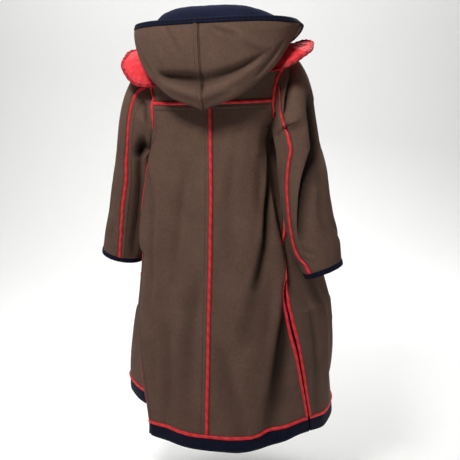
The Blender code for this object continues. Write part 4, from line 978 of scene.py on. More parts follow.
def sleeve_point(turn, along, side):
    """The sleeve: a cubic from the armhole to the first oval, then ovals, moved by folds."""
    turn, along = np.broadcast_arrays(np.asarray(turn, dtype=float), np.asarray(along, dtype=float))
    rise = sleeve_creases(turn, along, side)
    near = ((1 + np.cos(turn - SEAM_TURN)) / 2) ** 2
    hand = "left" if side > 0 else "right"
    turn = turn + np.radians(smooth_read(DRIFT, DRIFT_COLUMNS, "along", hand, along)) * near
    start, inward, _ = armhole_point(turn, side)
    oval, _ = sleeve_ring(turn, np.maximum(along, SLEEVE_HEAD), side)
    target, last_axis = sleeve_ring(turn, np.full(turn.shape, SLEEVE_HEAD), side)
    start = start + inward * GAP * 1.5
    reach = np.linalg.norm(target - start, axis=-1)[..., None]
    upper = (1 + np.cos(turn)) / 2
    sideways = side * LEAVE_SIDE * (1 + upper)
    leave = unit(np.stack([sideways, LEAVE_BACK * np.sin(turn), LEAVE_TOP * upper - LEAVE_DOWN], axis=-1))
    t = np.clip(along / SLEEVE_HEAD, 0.0, 1.0)[..., None]
    head = (1 + 2 * t) * (1 - t) ** 2 * start + t * (1 - t) ** 2 * leave * reach * HEAD_FULLNESS[side]
    head = head + t * t * (3 - 2 * t) * target + t * t * (t - 1) * last_axis * reach
    point = np.where(along[..., None] < SLEEVE_HEAD, head, oval)
    degrees = np.degrees(turn)
    for first, drift, begin, end, half, height in SLEEVE_FOLDS:
        share = np.clip((along - begin) / (end - begin), 0.0, 1.0)
        away = (degrees - first - drift * share + 180.0) % 360.0 - 180.0
        rise = rise + height * np.sqrt(np.sin(math.pi * share)) * hump(away / half)
    round_arm = np.sin(turn) * 0.15 + np.cos(turn) * 0.1
    rise = rise + SLEEVE_RIPPLE * ease(along / 0.1) * ripple(round_arm, along * 0.55, 2 + side)
    outward = np.stack([np.cos(turn) * side, np.sin(turn), turn * 0], axis=-1)
    return point + outward * rise[..., None]


def sleeve_surface(side):
    """The sleeve of one side as a function of turn and way along."""
    return lambda turn, along: sleeve_point(turn, along, side)


reach = np.linalg.norm(sleeve_point(0.0, 1.0, 1) - sleeve_point(0.0, 0.0, 1))
print("sleeve length:", round(float(reach), 3), "m")

# %% Sleeve pieces
HEAD_ROWS = np.array([0.0, 0.004, 0.010, 0.018, 0.03])
alongs = np.unique(np.concatenate([HEAD_ROWS, np.linspace(0.045, 1.0, 86)]))
for side, name in ((1, "left"), (-1, "right")):
    full = 2 * math.pi
    near = BESIDE_SEAM / ARM_RADIUS
    gap = GAP / 2 / ARM_RADIUS
    middle = np.linspace(SEAM_TURN + near[-1], UNDER_SEAM_TURN - near[4], 22)[1:-1]
    under = np.concatenate([SEAM_TURN + gap + near, middle, UNDER_SEAM_TURN - gap - near[4::-1]])
    middle = np.linspace(UNDER_SEAM_TURN + near[4], SEAM_TURN + full - near[-1], 40)[1:-1]
    top = np.concatenate([UNDER_SEAM_TURN + gap + near[:5], middle, SEAM_TURN + full - gap - near[::-1]])
    for kind, turns, from_seam, stitched in (
        ("under", under, under - SEAM_TURN - gap, True),
        ("top", top, SEAM_TURN + full - gap - top, False),
    ):
        turn, along = np.meshgrid(turns, alongs)
        points = sleeve_point(turn, along, side)
        normals = -side * grid_normals(points)
        relief = seam_relief(from_seam * ARM_RADIUS, stitched)[None, :] * ease(along / 0.04)
        across = turn * ARM_RADIUS
        # Painted shade: the sleeve's crease depth and seam dips darken the wool's colour.
        piece = add_cloth(
            "cloth_sleeve_%s_%s" % (kind, name), points + normals * relief[..., None],
            points - normals * WOOL, melton, uv=np.stack([across, along * 0.6], axis=-1),
            rise=sleeve_creases(turn, along, side) + np.minimum(relief, 0.0) * SEAM_FOLD_SHADE,
        )
        nodes = ["sleeve_%s_%s" % (kind, name)] + (["sleeve_top_low_" + name] if kind == "top" else [])
        own(piece, nodes)
print("pieces:", len(made_pieces))

# %% [markdown]
# ## The hood
#
# The hood hangs down the back as a pouch. Its cloth runs from the face edge down the outside, round the
# tip and up the inside to the neck, which is one profile; its size changes round the neck. A cloth
# simulation would find a pouch too, but not this one, so the dent across it and the soft
# folds towards the tip are given one by one.

# %% Chart of the hood
HOOD_COLUMNS = ("across", "reach", "drop", "stand")
HOOD = (
    (0.00, 1.00, 0.00, 0.00),
    (0.12, 1.04, 0.25, 0.00),
    (0.28, 1.02, 0.62, 0.00),
    (0.42, 0.95, 0.93, 0.00),
    (0.50, 0.88, 1.00, 0.00),
    (0.58, 0.80, 0.93, 0.00),
    (0.72, 0.70, 0.45, 0.25),
    (0.84, 0.52, 0.05, 0.85),
    (0.91, 0.28, 0.00, 1.00),
    (1.00, 0.02, 0.00, 0.05),
)
RIM_COLUMNS = ("turn", "side", "back", "height", "depth", "stand")
RIM = (
    (0.0, 0.000, 0.200, 0.022, 0.232, 0.048),
    (30.0, 0.118, 0.182, 0.022, 0.190, 0.048),
    (60.0, 0.206, 0.122, 0.018, 0.108, 0.041),
    (85.0, 0.230, 0.030, 0.010, 0.026, 0.032),
    (115.0, 0.205, -0.060, -0.018, 0.012, 0.028),
    (140.0, 0.130, -0.125, -0.058, 0.006, 0.018),
    (165.0, 0.050, -0.145, -0.085, 0.004, 0.012),
)
HOOD_PACES = (0.0036, 0.5)
HOOD_CREASES = (
    (33.0, 0.338, 17.0, 0.322, -3.0, 0.318, 0.0110, 0.0230, -0.0215, -0.15),
    (12.0, 0.300, 3.0, 0.300, -6.0, 0.312, 0.0120, 0.0130, -0.0040, 0.0),
    (2.0, 0.318, -17.0, 0.304, -42.0, 0.272, 0.0190, 0.0100, -0.0150, -0.15),
    (24.0, 0.335, 8.0, 0.370, -18.0, 0.370, 0.0160, 0.0160, 0.0060, 0.0),
    (23.0, 0.030, 19.0, 0.100, 13.0, 0.200, 0.0050, 0.0080, -0.0055, -0.60),
    (-9.0, 0.040, -16.0, 0.080, -27.0, 0.130, 0.0050, 0.0080, -0.0040, 0.50),
    (-24.0, 0.100, -34.0, 0.170, -46.0, 0.250, 0.0090, 0.0100, 0.0045, -0.40),
    (34.0, 0.100, 32.0, 0.180, 26.0, 0.260, 0.0090, 0.0100, 0.0040, 0.0),
    (56.0, 0.180, 50.0, 0.280, 40.0, 0.380, 0.0090, 0.0110, -0.0045, 0.40),
    (-58.0, 0.240, -50.0, 0.330, -36.0, 0.400, 0.0090, 0.0110, -0.0045, 0.40),
    (84.0, 0.120, 78.0, 0.250, 66.0, 0.380, 0.0080, 0.0100, -0.0050, 0.40),
    (-86.0, 0.120, -80.0, 0.250, -68.0, 0.380, 0.0080, 0.0100, -0.0050, 0.40),
    (40.0, 0.720, 28.0, 0.780, 14.0, 0.800, 0.0090, 0.0110, 0.0040, 0.0),
    (-50.0, 0.740, -34.0, 0.790, -18.0, 0.780, 0.0090, 0.0110, -0.0040, 0.0),
)
# Share of the hood's crease depth that becomes painted shade in the wool.
HOOD_FOLD_SHADE = 0.62
HOOD_SHARE = {1: 0.965, -1: 1.010}
HOOD_LIFT = 0.004
HOOD_RIPPLE = 0.0008
HOOD_END = 165.0
print("hood profile rows:", len(HOOD))


# %% The hood's surface
def hood_base(turn, across):
    """A profile from the rim (0) to the neck (1), scaled by reach, depth and stand at each turn."""
    turn, across = np.broadcast_arrays(np.asarray(turn, dtype=float), np.asarray(across, dtype=float))
    side = np.where(turn < 0, -1.0, 1.0)
    width = np.where(turn < 0, HOOD_SHARE[-1], HOOD_SHARE[1])
    neck = body_point(np.radians(turn), np.zeros(turn.shape))
    rim_side, rim_back, rim_height, depth, stand_height = (
        smooth_read(RIM, RIM_COLUMNS, "turn", name, np.abs(turn)) for name in RIM_COLUMNS[1:]
    )
    rim = np.stack([rim_side * side * width, rim_back, rim_height], axis=-1)
    reach, drop, stand = (
        smooth_read(HOOD, HOOD_COLUMNS, "across", name, across) for name in HOOD_COLUMNS[1:]
    )
    point = neck + (rim - neck) * reach[..., None]
    point[..., 2] = neck[..., 2] + (rim - neck)[..., 2] * ease(reach)
    point[..., 2] += stand * stand_height - drop * depth + HOOD_LIFT
    return point


def hood_point(turn, across):
    """The hood's cloth: the profile, moved along its normals by the creases."""
    inside = np.clip(across, 0.002, 0.998)
    normal = normal_of(hood_base, turn, inside, 0.05, 0.001)
    rise = creases_at(HOOD_CREASES, turn, across, HOOD_PACES)
    rise = rise + HOOD_RIPPLE * ripple(np.radians(turn) * 0.2, across * 0.5, 5)
    return hood_base(turn, across) + normal * (rise * ease(np.asarray(across) / 0.06))[..., None]


across_rows = np.unique(np.concatenate([np.linspace(0, 0.5, 60), np.linspace(0.5, 1.0, 50)]))
degree_per_metre = 1 / HOOD_PACES[0]
near = BESIDE_SEAM * HOOD_SEAM_SHARE * degree_per_metre
for side, name in ((1, "left"), (-1, "right")):
    turns = np.concatenate([near, np.linspace(near[-1], HOOD_END, 84)[1:]])
    turn, across = np.meshgrid(turns * side, across_rows)
    points = hood_point(turn, across)
    normals = grid_normals(points) * side
    relief = np.zeros(turn.shape)
    relief[:, :len(near)] += seam_relief(BESIDE_SEAM, side > 0)[None, :] * 1.3
    outer = points + normals * relief[..., None]
    inner = points - normals * WOOL
    outer[:, 0, 0] = side * GAP / 2
    inner[:, 0, 0] = side * GAP / 2
    uv = np.stack([turn / degree_per_metre, across * 0.5], axis=-1)
    # Painted shade: part of the hood's crease depth and its seam dips darken the wool's colour.
    rise = HOOD_FOLD_SHADE * creases_at(HOOD_CREASES, turn, across, HOOD_PACES)
    rise = rise + np.minimum(relief, 0.0) * SEAM_FOLD_SHADE
    own(add_cloth("cloth_hood_" + name, outer, inner, melton, uv, rise), ["hood_" + name])

LINING = 0.0020
turn, across = np.meshgrid(np.linspace(-132.0, 132.0, 190), np.linspace(0.58, 0.95, 46))
points = hood_point(turn, across)
normals = grid_normals(points)
nap = 0.0004 * ripple(np.radians(turn) * 0.9, across * 2.0, 7)[..., None]
outer = points - normals * (WOOL + LIFT)
inner = points - normals * (WOOL + LIFT + LINING + nap)
uv = np.stack([turn * HOOD_PACES[0], across * 0.5], axis=-1)
lining = add_cloth("cloth_hood_lining", outer, inner, fleece, uv)
own(lining, ["hood_lining"])
print("pieces:", len(made_pieces))

# %% [markdown]
# ## Shoulder flaps
#
# Two loose flaps of red satin come out from under the hood and lie over the sleeve heads. Their rim is
# rolled and stitched, and the thin satin puckers where it is sewn, so small creases run in from the
# rim. A flap is a cubic from the neck seam over the shoulder to a rim that the chart gives.

# %% Flap chart, surface and pieces
FLAP_COLUMNS = ("turn", "side", "back", "height_left", "height_right")
FLAP = (
    (28.0, 0.092, 0.128, -0.118, -0.100),
    (45.0, 0.163, 0.112, -0.142, -0.112),
    (60.0, 0.226, 0.110, -0.134, -0.098),
    (76.0, 0.270, 0.078, -0.086, -0.066),
    (94.0, 0.272, 0.030, -0.052, -0.047),
    (112.0, 0.236, -0.020, -0.038, -0.034),
    (125.0, 0.180, -0.075, -0.052, -0.050),
)
FLAP_NECK_DOWN = 0.012
FLAP_NEAR_DOWN = 0.060
FLAP_NEAR_LIFT = 0.012
FLAP_FAR_DOWN = 0.125
FLAP_FAR_LIFT = 0.018
FLAP_FROM, FLAP_TO = 28.0, 125.0
FLAP_WAVE = 0.0015
FLAP_PUCKER = 0.0007
FLAP_WAVES_PER_TURN = 11.0
FLAP_PACES = (0.0042, 0.20)
FLAP_CREASES = (
    (60.0, 0.600, 52.0, 0.720, 44.0, 0.900, 0.0035, 0.0060, -0.0045, 0.70),
    (61.0, 0.600, 59.0, 0.760, 58.0, 0.940, 0.0035, 0.0055, -0.0045, 0.70),
    (62.0, 0.600, 67.0, 0.740, 70.0, 0.930, 0.0035, 0.0055, -0.0050, -0.70),
    (63.0, 0.600, 74.0, 0.680, 84.0, 0.880, 0.0035, 0.0060, -0.0045, -0.70),
    (62.0, 0.580, 78.0, 0.560, 96.0, 0.640, 0.0040, 0.0070, -0.0060, 0.60),
    (96.0, 0.700, 92.0, 0.800, 90.0, 0.940, 0.0035, 0.0050, -0.0040, 0.60),
    (104.0, 0.740, 104.0, 0.840, 103.0, 0.940, 0.0035, 0.0050, -0.0035, 0.60),
    (50.0, 0.480, 62.0, 0.520, 72.0, 0.480, 0.0040, 0.0060, 0.0045, 0.0),
)


def offset_body(angle, down, height):
    """A point at a height over the body."""
    down = np.full(angle.shape, down)
    return body_point(angle, down) + normal_of(body_point, angle, down) * height


def flap_point(turn, reach, side):
    """A cubic from the neck seam, through two lifted points over the shoulder, to the flap's rim."""
    turn, reach = np.broadcast_arrays(np.asarray(turn, dtype=float), np.asarray(reach, dtype=float))
    names = ("side", "back", "height_left" if side > 0 else "height_right")
    edge = np.stack([smooth_read(FLAP, FLAP_COLUMNS, "turn", n, turn) for n in names], axis=-1)
    edge = edge * np.array([side, 1, 1])
    angle = np.radians(turn) * side
    neck = offset_body(angle, FLAP_NECK_DOWN, SATIN + LIFT)
    near = offset_body(angle, FLAP_NEAR_DOWN, FLAP_NEAR_LIFT)
    far = offset_body(angle, FLAP_FAR_DOWN, FLAP_FAR_LIFT)
    t = reach[..., None]
    point = (1 - t) ** 3 * neck + 3 * t * (1 - t) ** 2 * near + 3 * t * t * (1 - t) * far + t ** 3 * edge
    wave = np.cos(np.radians(turn) * FLAP_WAVES_PER_TURN) * FLAP_WAVE * ease((reach - 0.45) / 0.5)
    pucker = np.sin(np.radians(turn) * 75.0 + side) * FLAP_PUCKER * ease((reach - 0.80) / 0.12)
    share = ease((reach - 0.4) / 0.2) * (1 - 0.8 * ease((reach - 0.80) / 0.16))
    point[..., 2] += wave + pucker + creases_at(FLAP_CREASES, turn, reach, FLAP_PACES) * share
    return point


FLAP_RIM = 0.0085
for side, name in ((1, "left"), (-1, "right")):
    reaches = np.concatenate([np.linspace(0.0, 0.8, 34), np.linspace(0.81, 1.0, 20)])
    turn, reach = np.meshgrid(np.linspace(FLAP_FROM, FLAP_TO, 110), reaches)
    points = flap_point(turn, reach, side)
    normals = grid_normals(points)
    normals = normals * np.sign(normals[..., 2:3])
    uv = np.stack([turn * 0.004, reach * 0.25], axis=-1)
    flap = add_cloth("cloth_shoulder_flap_" + name, points, points - normals * SATIN, red_satin, uv)
    own(flap, ["shoulder_flap_" + name])
print("pieces:", len(made_pieces))

# %% [markdown]
# ## Cords, bindings and stitches
#
# The seams are piped: a strip of satin, cut on the slant and folded over a soft cord, so its ribs
# lie obliquely. A curve with a bevel would be round all over; a grid of nine columns along the seam
# gives the low half-round that shows and lies on the cloth. Bindings wrap an edge like a U. Stitches
# are short slivers set on a line at an even pitch, drawn 5 mm apart so that they show.

# %% Cords on seams
CORD_WIDTH = 0.0088
CORD_HEIGHT = 0.0038
CORD_SET = 0.0066
CORD_TIP = 0.060
CORD_CLOSE = 0.004
CORD_STEP = 0.0013
CORD_END = HEM_SEAM - CORD_WIDTH / 2 - 2 * GAP
RIB = 0.0042
RIB_SLANT = 0.45
RIB_DEPTH = 0.012
ACROSS = np.linspace(-1.0, 1.0, 9)


def add_cord(name, base, normals, height=CORD_HEIGHT, lift=LIFT):
    """A half-round on a strip: height times the root of one less the square, with slanted ribs."""
    length = lengths_along(base).mean(axis=1)[:, None]
    ribs = 1.0 + RIB_DEPTH * np.cos(2 * math.pi * (length / RIB + ACROSS[None, :] * RIB_SLANT))
    ends = ease(length / CORD_CLOSE) * ease((length[-1] - length) / CORD_CLOSE)
    height = np.broadcast_to(np.asarray(height, dtype=float).reshape(-1, 1), (len(base), 1))
    rise = height * np.sqrt(np.maximum(1 - (ACROSS[None, :] * 0.94) ** 2, 0.0)) * ribs * (0.3 + 0.7 * ends)
    top = base + normals * (lift + rise)[..., None]
    bottom = (base + normals * lift)[:, [-1, 4, 0]]
    width = np.concatenate([ACROSS, ACROSS[[-1, 4, 0]]]) * CORD_WIDTH / 2
    uv = np.stack(np.broadcast_arrays(width[None, :], length), axis=-1)
    piece = add_sweep(name, np.concatenate([top, bottom], axis=1), red_piping, uv=uv)
    return own(piece, [name.replace("cord", "piping")])


def cord_rows(begin, end, length):
    """Places along a cord of this length, so close that each rib gets three."""
    return np.linspace(begin, end, int(length / CORD_STEP))


def cord_down(name, surface, angle_at, begin, tip=1.0):
    """A cord down a seam to the hem: the seam's angle at each row, opened across by the cord's width.
    tip is the width's share at the upper end, less than 1 where the cord starts out of a seam."""
    down = cord_rows(begin, CORD_END, (CORD_END - begin) * 1.02)
    centre = angle_at(down)
    width = CORD_WIDTH * (tip + (1 - tip) * ease((down - begin) / CORD_TIP))
    offsets = ACROSS[None, :] * width[:, None] / 2
    angles = centre[:, None] + offsets / pace(centre, down)[:, None]
    grid = np.repeat(down[:, None], len(ACROSS), axis=1)
    return add_cord(name, surface(angles, grid), normal_of(surface, angles, grid))


def cord_round(name, surface, first, last, down, length):
    """A cord round the body at one height of the chart, from one angle to another."""
    angles = np.repeat(cord_rows(first, last, length)[:, None], len(ACROSS), axis=1)
    grid = np.zeros(angles.shape) + down + ACROSS[None, :] * CORD_WIDTH / 2
    return add_cord(name, surface(angles, grid), normal_of(surface, angles, grid))


def seam_cord_angle(side, front):
    """Angle of the cord beside a side seam: over the closed seam, then beside the vent's edge."""
    def angle_at(down):
        level = level_of(down, front, side)
        seam = seam_angle(level, side)
        open_share = 1.0 if front else ease((down - VENT_TOP) / 0.10)
        shift = vent_open(level, side) + CORD_SET / 2 * open_share
        return (seam + (shift if front else -shift) / pace(seam * side, level)) * side
    return angle_at


ROLLED = 0.017
ROLLED_FROM = 0.56
ROLLED_HEIGHT = 0.0012
ROLLED_WIDTH = 0.0054


def rolled_side_cord():
    """The left side's cord: down the seam it turns away with the cloth and lies flatter, and along the
    vent it sits on the cut face of the back's edge, so its strip runs through the cloth's thickness."""
    down = cord_rows(ARMHOLE_LOW + 0.020, CORD_END, 0.82)
    grid = np.repeat(down[:, None], len(ACROSS), axis=1)
    rolled = ease((down - ROLLED_FROM) / 0.10)
    centre = seam_angle(down, 1) + ROLLED * rolled / pace(seam_angle(down, 1), down)
    angles = centre[:, None] + ACROSS[None, :] * CORD_WIDTH / 2 / pace(centre, down)[:, None]
    flat_base, flat_normal = back_surface(angles, grid), normal_of(back_surface, angles, grid)
    edge = edge_angle(down, False, 1)
    out = normal_of(back_surface, edge, down)
    face = unit(back_surface(edge, down) - back_surface(edge - 0.01, down))
    middle = back_surface(edge, down) - out * WOOL / 2
    edge_base = middle[:, None] - out[:, None] * (ACROSS * ROLLED_WIDTH / 2)[None, :, None]
    over = ease((down - VENT_TOP) / 0.05)[:, None, None]
    base = flat_base * (1 - over) + edge_base * over
    normals = unit(flat_normal * (1 - over) + face[:, None] * over)
    height = CORD_HEIGHT + (ROLLED_HEIGHT - CORD_HEIGHT) * rolled
    return add_cord("cord_side_left", base, normals, height=height)


ARMHOLE_CORD_END = {1: 0.70, -1: 0.625}
cord_down("cord_centre_back", back_surface, lambda down: np.zeros(down.shape), YOKE_SEAM + 0.005)
seam = np.full(1, HEM_SEAM)
lap = LAP / float(pace(np.full(1, math.pi), seam)[0])
for side, name, front in ((1, "left", left_front_surface), (-1, "right", front_surface)):
    if side > 0:
        rolled_side_cord()
    else:
        cord_down("cord_side_right", back_surface, seam_cord_angle(side, False), ARMHOLE_LOW + 0.020)
    cord_down("cord_vent_" + name, front, seam_cord_angle(side, True), VENT_TOP + 0.040, tip=0.15)
    far = float(edge_angle(level_of(seam, True, side), True, side)[0]) + 0.002
    near = math.pi + lap * (0.99 if side > 0 else -1.75)
    cord_round("cord_hem_front_" + name, front, near * side, far * side, HEM_SEAM, 0.62)
for name, down, inset, length in (("hem_back", HEM_SEAM, 0.002, 0.75), ("yoke", YOKE_SEAM, 0.036, 0.36)):
    right, left = (float(edge_angle(np.full(1, down), False, side)[0]) - inset for side in (-1, 1))
    cord_round("cord_" + name, back_surface, -right, left, down, length)

for side, name in ((1, "left"), (-1, "right")):
    surface = sleeve_surface(side)
    middle = cord_rows(0.02, 0.972, 0.5)
    beside = [surface(SEAM_TURN + SEAM_REACH * way, middle) for way in (1, -1)]
    wide = np.linalg.norm(beside[0] - beside[1], axis=1)
    wide = np.polyval(np.polyfit(middle, wide, 3), middle)
    turn = SEAM_TURN + ACROSS[None, :] * (CORD_WIDTH * SEAM_REACH / wide)[:, None]
    base = surface(turn, np.repeat(middle[:, None], len(ACROSS), axis=1))
    add_cord("cord_sleeve_" + name, base, -side * grid_normals(base), lift=2 * LIFT)
    turn = cord_rows(-0.5 * math.pi, ARMHOLE_CORD_END[side] * math.pi, 0.30)
    edge, inward, normal = armhole_point(turn, side)
    narrow = 1 - 0.8 * ease((np.linspace(0, 1, len(turn)) - 0.88) / 0.12)
    inset = CORD_WIDTH / 2 - ACROSS[None, :] * (CORD_WIDTH / 2 - GAP) * narrow[:, None]
    base = edge[:, None] - inward[:, None] * inset[..., None]
    add_cord("cord_armhole_" + name, base, np.repeat(normal[:, None], len(ACROSS), axis=1), lift=3 * LIFT)
print("pieces:", len(made_pieces))

# %% Bindings that wrap an edge
HOOD_TAPE = 0.0120
CUFF_TAPE = 0.0125
U_PROFILE = (
    (1.00, 0.5, 0), (0.96, 1.7, 0), (0.75, 2.2, 0), (0.52, 2.1, 0),
    (0.46, 1.7, 0), (0.40, 2.1, 0), (0.15, 2.2, 0),
    (-0.08, 1.9, 0), (-0.19, 0.9, 0), (-0.23, -0.5, 1), (-0.19, -0.9, 2), (-0.08, -1.9, 2), (0.15, -2.2, 2),
    (0.40, -2.1, 2), (0.46, -1.7, 2), (0.52, -2.1, 2), (0.75, -2.2, 2), (0.96, -1.7, 2), (1.00, -0.5, 2),
    (0.60, -0.4, 2), (0.10, -0.4, 2), (-0.05, -0.1, 1), (0.10, 0.4, 0), (0.60, 0.4, 0),
)


def add_binding(name, edge, inward, normal, width, wall, look, closed=False):
    """A folded tape: its U outline, in shares of its width and millimetres of height, along the edge.
    The third number counts half walls: 0 lies on the outer face, 1 on the edge, 2 on the inner face."""
    share, height, walls = np.array(U_PROFILE).T
    height = height / 1000 - walls * wall / 2
    grid = edge[:, None] + inward[:, None] * (share * width)[None, :, None]
    grid = grid + normal[:, None] * height[None, :, None]
    length = lengths_along(edge)
    around = np.linalg.norm(np.diff(grid, axis=1), axis=-1).sum(axis=1).mean()
    made_sizes[name] = [float(around / 2), float(length[-1])]
    round_it = np.arange(len(U_PROFILE)) * 0.001
    uv = np.stack(np.meshgrid(round_it, length), axis=-1)
    return add_sweep(name, grid, look, closed=closed, uv=uv, smooth=75.0)


turn = np.linspace(-HOOD_END, HOOD_END, 420)
rim = np.zeros(turn.shape)
edge = hood_point(turn, rim)
inward = unit(hood_point(turn, rim + 0.030) - edge)
normal = normal_of(hood_base, turn, rim + 0.004, 0.05, 0.003)
hood_tape = add_binding("binding_hood", edge, inward, normal, HOOD_TAPE, WOOL, navy_tape)
own(hood_tape, ["hood_binding"])
for side, name in ((1, "left"), (-1, "right")):
    turn = np.linspace(0, 2 * math.pi, 220, endpoint=False)
    end = np.ones(turn.shape)
    surface = sleeve_surface(side)
    edge = surface(turn, end)
    inward = unit(surface(turn, end - 0.02) - edge)
    normal = -side * normal_of(surface, turn, end - 0.002, SEAM_REACH, 0.002)
    cuff = add_binding("binding_cuff_" + name, edge, inward, normal, CUFF_TAPE, WOOL, navy_tape, closed=True)
    own(cuff, ["cuff_binding_" + name])
    turn = np.linspace(FLAP_FROM, FLAP_TO, 260)
    edge = flap_point(turn, np.ones(turn.shape), side)
    inner = flap_point(turn, np.full(turn.shape, 0.96), side)
    inward = unit(inner - edge)
    tangent = unit(np.gradient(edge, axis=0))
    normal = unit(np.cross(inward, tangent))
    normal = normal * np.sign(normal[:, 2:3])
    rim = add_binding("flap_rim_" + name, edge, inward, normal, FLAP_RIM, SATIN, red_bias_tape)
    own(rim, [])
print("pieces:", len(made_pieces))

# %% Hem bands
# Across the band: millimetres below the cord, and height of the face over the coat's surface.
BAND_PROFILE = (
    (0.0, 0.0), (2.0, 0.2), (5.0, 0.4), (9.0, 0.5), (15.0, 0.5), (22.0, 0.5),
    (29.0, 0.5), (34.5, 0.4), (36.5, 0.0), (38.5, 0.35), (40.2, 0.2), (41.0, -0.6),
)


def hem_band(name, surface, first, last, length, node):
    """The band under the hem cord: a flat tape with a crowned face and a rolled lower edge."""
    rows, crown = np.array(BAND_PROFILE).T / 1000
    angles, down = np.meshgrid(np.linspace(first, last, int(length / 0.004)), HEM_SEAM + GAP / 2 + rows)
    points = surface(angles, down)
    normals = grid_normals(points) * np.sign(last - first)
    uv = np.stack([down, (angles - first) * length / (last - first)], axis=-1)
    outer = points + normals * crown[:, None, None]
    thick = np.full(rows.shape, WOOL)
    thick[-1] = WOOL - 0.0006
    piece = add_cloth(name, outer, points - normals * thick[:, None, None], navy_tape, uv)
    return own(piece, [node])


# Behind the right vent's slit lies an underlap. Its dark navy tape also paints the shade that fills the slit.
UNDERLAP_WIDTH = 0.024
UNDERLAP_THICKNESS = 0.0015
UNDERLAP_IN = 0.0008
UNDERLAP_TOP = VENT_TOP + 0.035
rows = np.linspace(UNDERLAP_TOP, HEM, 120)
shares = np.linspace(-0.5, 0.5, 9)
seam = seam_angle(rows, -1)
angles = shares[None, :] * UNDERLAP_WIDTH / pace(seam, rows)[:, None] - seam[:, None]
grid = np.repeat(rows[:, None], len(shares), axis=1)
normals = normal_of(front_surface, angles, grid)
points = front_surface(angles, grid) - normals * (WOOL + UNDERLAP_IN)
uv = np.stack([grid, angles * HEM_RADIUS], axis=-1)
strip = add_cloth("cloth_vent_underlap", points, points - normals * UNDERLAP_THICKNESS, navy_tape, uv)
own(strip, ["vent_underlap_right"])

seam = np.full(1, HEM_SEAM + 0.01)
edges = {
    (front, side): float(edge_angle(level_of(seam, front, side), front, side)[0])
    for front in (False, True) for side in (1, -1)
}
hem_band("band_hem_back", back_surface, -edges[False, -1], edges[False, 1], 0.76, "hem_band_back")
for side, name, surface in ((1, "left", left_front_surface), (-1, "right", front_surface)):
    first = float(front_edge(seam, side)[0])
    last = edges[True, side]
    hem_band("band_hem_front_" + name, surface, first * side, last * side, 0.68, "hem_band_front_" + name)
print("pieces:", len(made_pieces))

# %% Rows of stitches
STITCH_PITCH = 0.0050
STITCH = np.array([
    (-1.0, 0.0, 0.1), (-0.7, 1.0, 0.2), (-0.7, 0.0, 1.0), (-0.7, -1.0, 0.2),
    (0.7, 1.0, 0.2), (0.7, 0.0, 1.0), (0.7, -1.0, 0.2), (1.0, 0.0, 0.1),
]) * np.array([0.0017, 0.00045, 0.00055])
STITCH_QUADS = np.array([
    (1, 4, 5, 2), (2, 5, 6, 3), (1, 3, 6, 4), (0, 1, 2, 2), (0, 2, 3, 3), (0, 3, 1, 1),
    (7, 5, 4, 4), (7, 6, 5, 5), (7, 4, 6, 6),
])


def add_stitches(name, path, normals, look):
    """Slivers of thread at an even pitch: each one is turned along the path and lies on the cloth."""
    length = lengths_along(path)
    places = np.arange(STITCH_PITCH / 2, length[-1], STITCH_PITCH)
    at = np.stack([np.interp(places, length, path[:, k]) for k in range(3)], axis=-1)
    up = unit(np.stack([np.interp(places, length, normals[:, k]) for k in range(3)], axis=-1))
    tangent = unit(np.gradient(at, axis=0))
    sideways = np.cross(up, tangent)
    axes = enumerate((tangent, sideways, up))
    points = at[:, None] + sum(STITCH[None, :, k, None] * axis[:, None] for k, axis in axes)
    quads = (np.arange(len(at))[:, None, None] * len(STITCH) + STITCH_QUADS[None]).reshape(-1, 4)
    mesh = bpy.data.meshes.new(name)
    mesh.from_pydata(points.reshape(-1, 3).tolist(), [], [tuple(dict.fromkeys(q)) for q in quads.tolist()])
    mesh.shade_smooth()
    mesh.materials.append(look)
    piece = bpy.data.objects.new(name, mesh)
    bpy.context.collection.objects.link(piece)
    made_pieces[name] = piece
    return own(piece, [])


def body_stitches(name, surface, angles, down, look=brown_thread):
    """Stitches on the body, on the line of these angles and rows."""
    path = surface(angles, down)
    normal = normal_of(surface, angles, down)
    path = path + normal * 0.0003
    return add_stitches(name, path, normal, look)


rows = np.linspace(YOKE_SEAM + 0.006, HEM_SEAM - 0.006, 400)
body_stitches("stitches_centre_back", back_surface, STITCH_LINE / pace(np.zeros(rows.shape), rows), rows)
for side, name in ((1, "left"), (-1, "right")):
    rows = np.linspace(ARMHOLE_LOW + 0.01, HEM_SEAM - 0.006, 400)
    edge = edge_angle(rows, False, side)
    inside = (edge - STITCH_LINE / pace(edge * side, rows)) * side
    body_stitches("stitches_side_" + name, back_surface, inside, rows)
    surface = sleeve_surface(side)
    along = np.linspace(0.03, 0.93, 300)
    turn = np.full(along.shape, SEAM_TURN + STITCH_LINE / ARM_RADIUS)
    normal = -side * normal_of(surface, turn, along, SEAM_REACH)
    path = surface(turn, along) + normal * 0.0004
    add_stitches("stitches_sleeve_" + name, path, normal, brown_thread)
    down = np.full(300, YOKE_SEAM + GAP + STITCH_LINE * YOKE_STITCH_SHARE)
    angles = np.linspace(0.0, float(edge_angle(down[:1], False, side)[0]) - 0.01, 300) * side
    body_stitches("stitches_yoke_" + name, back_surface, angles, down)
    turn = np.linspace(30.0, 123.0, 300)
    reach = np.full(turn.shape, 0.955)
    path = flap_point(turn, reach, side)
    inward = unit(flap_point(turn, reach - 0.03, side) - path)
    normal = unit(np.cross(inward, unit(np.gradient(path, axis=0))))
    normal = normal * np.sign(normal[:, 2:3])
    add_stitches("stitches_flap_" + name, path + normal * 0.0002, normal, red_thread)
    if side > 0:
        rows = np.linspace(0.02, HEM_SEAM - 0.005, 400)
        edge = front_edge(rows, side)
        for label, inset in (("stitches_front_edge", 0.006), ("stitches_front_lap", 0.034)):
            body_stitches(label, left_front_surface, edge - inset / pace(edge, rows), rows)
across = np.linspace(0.04, 0.47, 160)
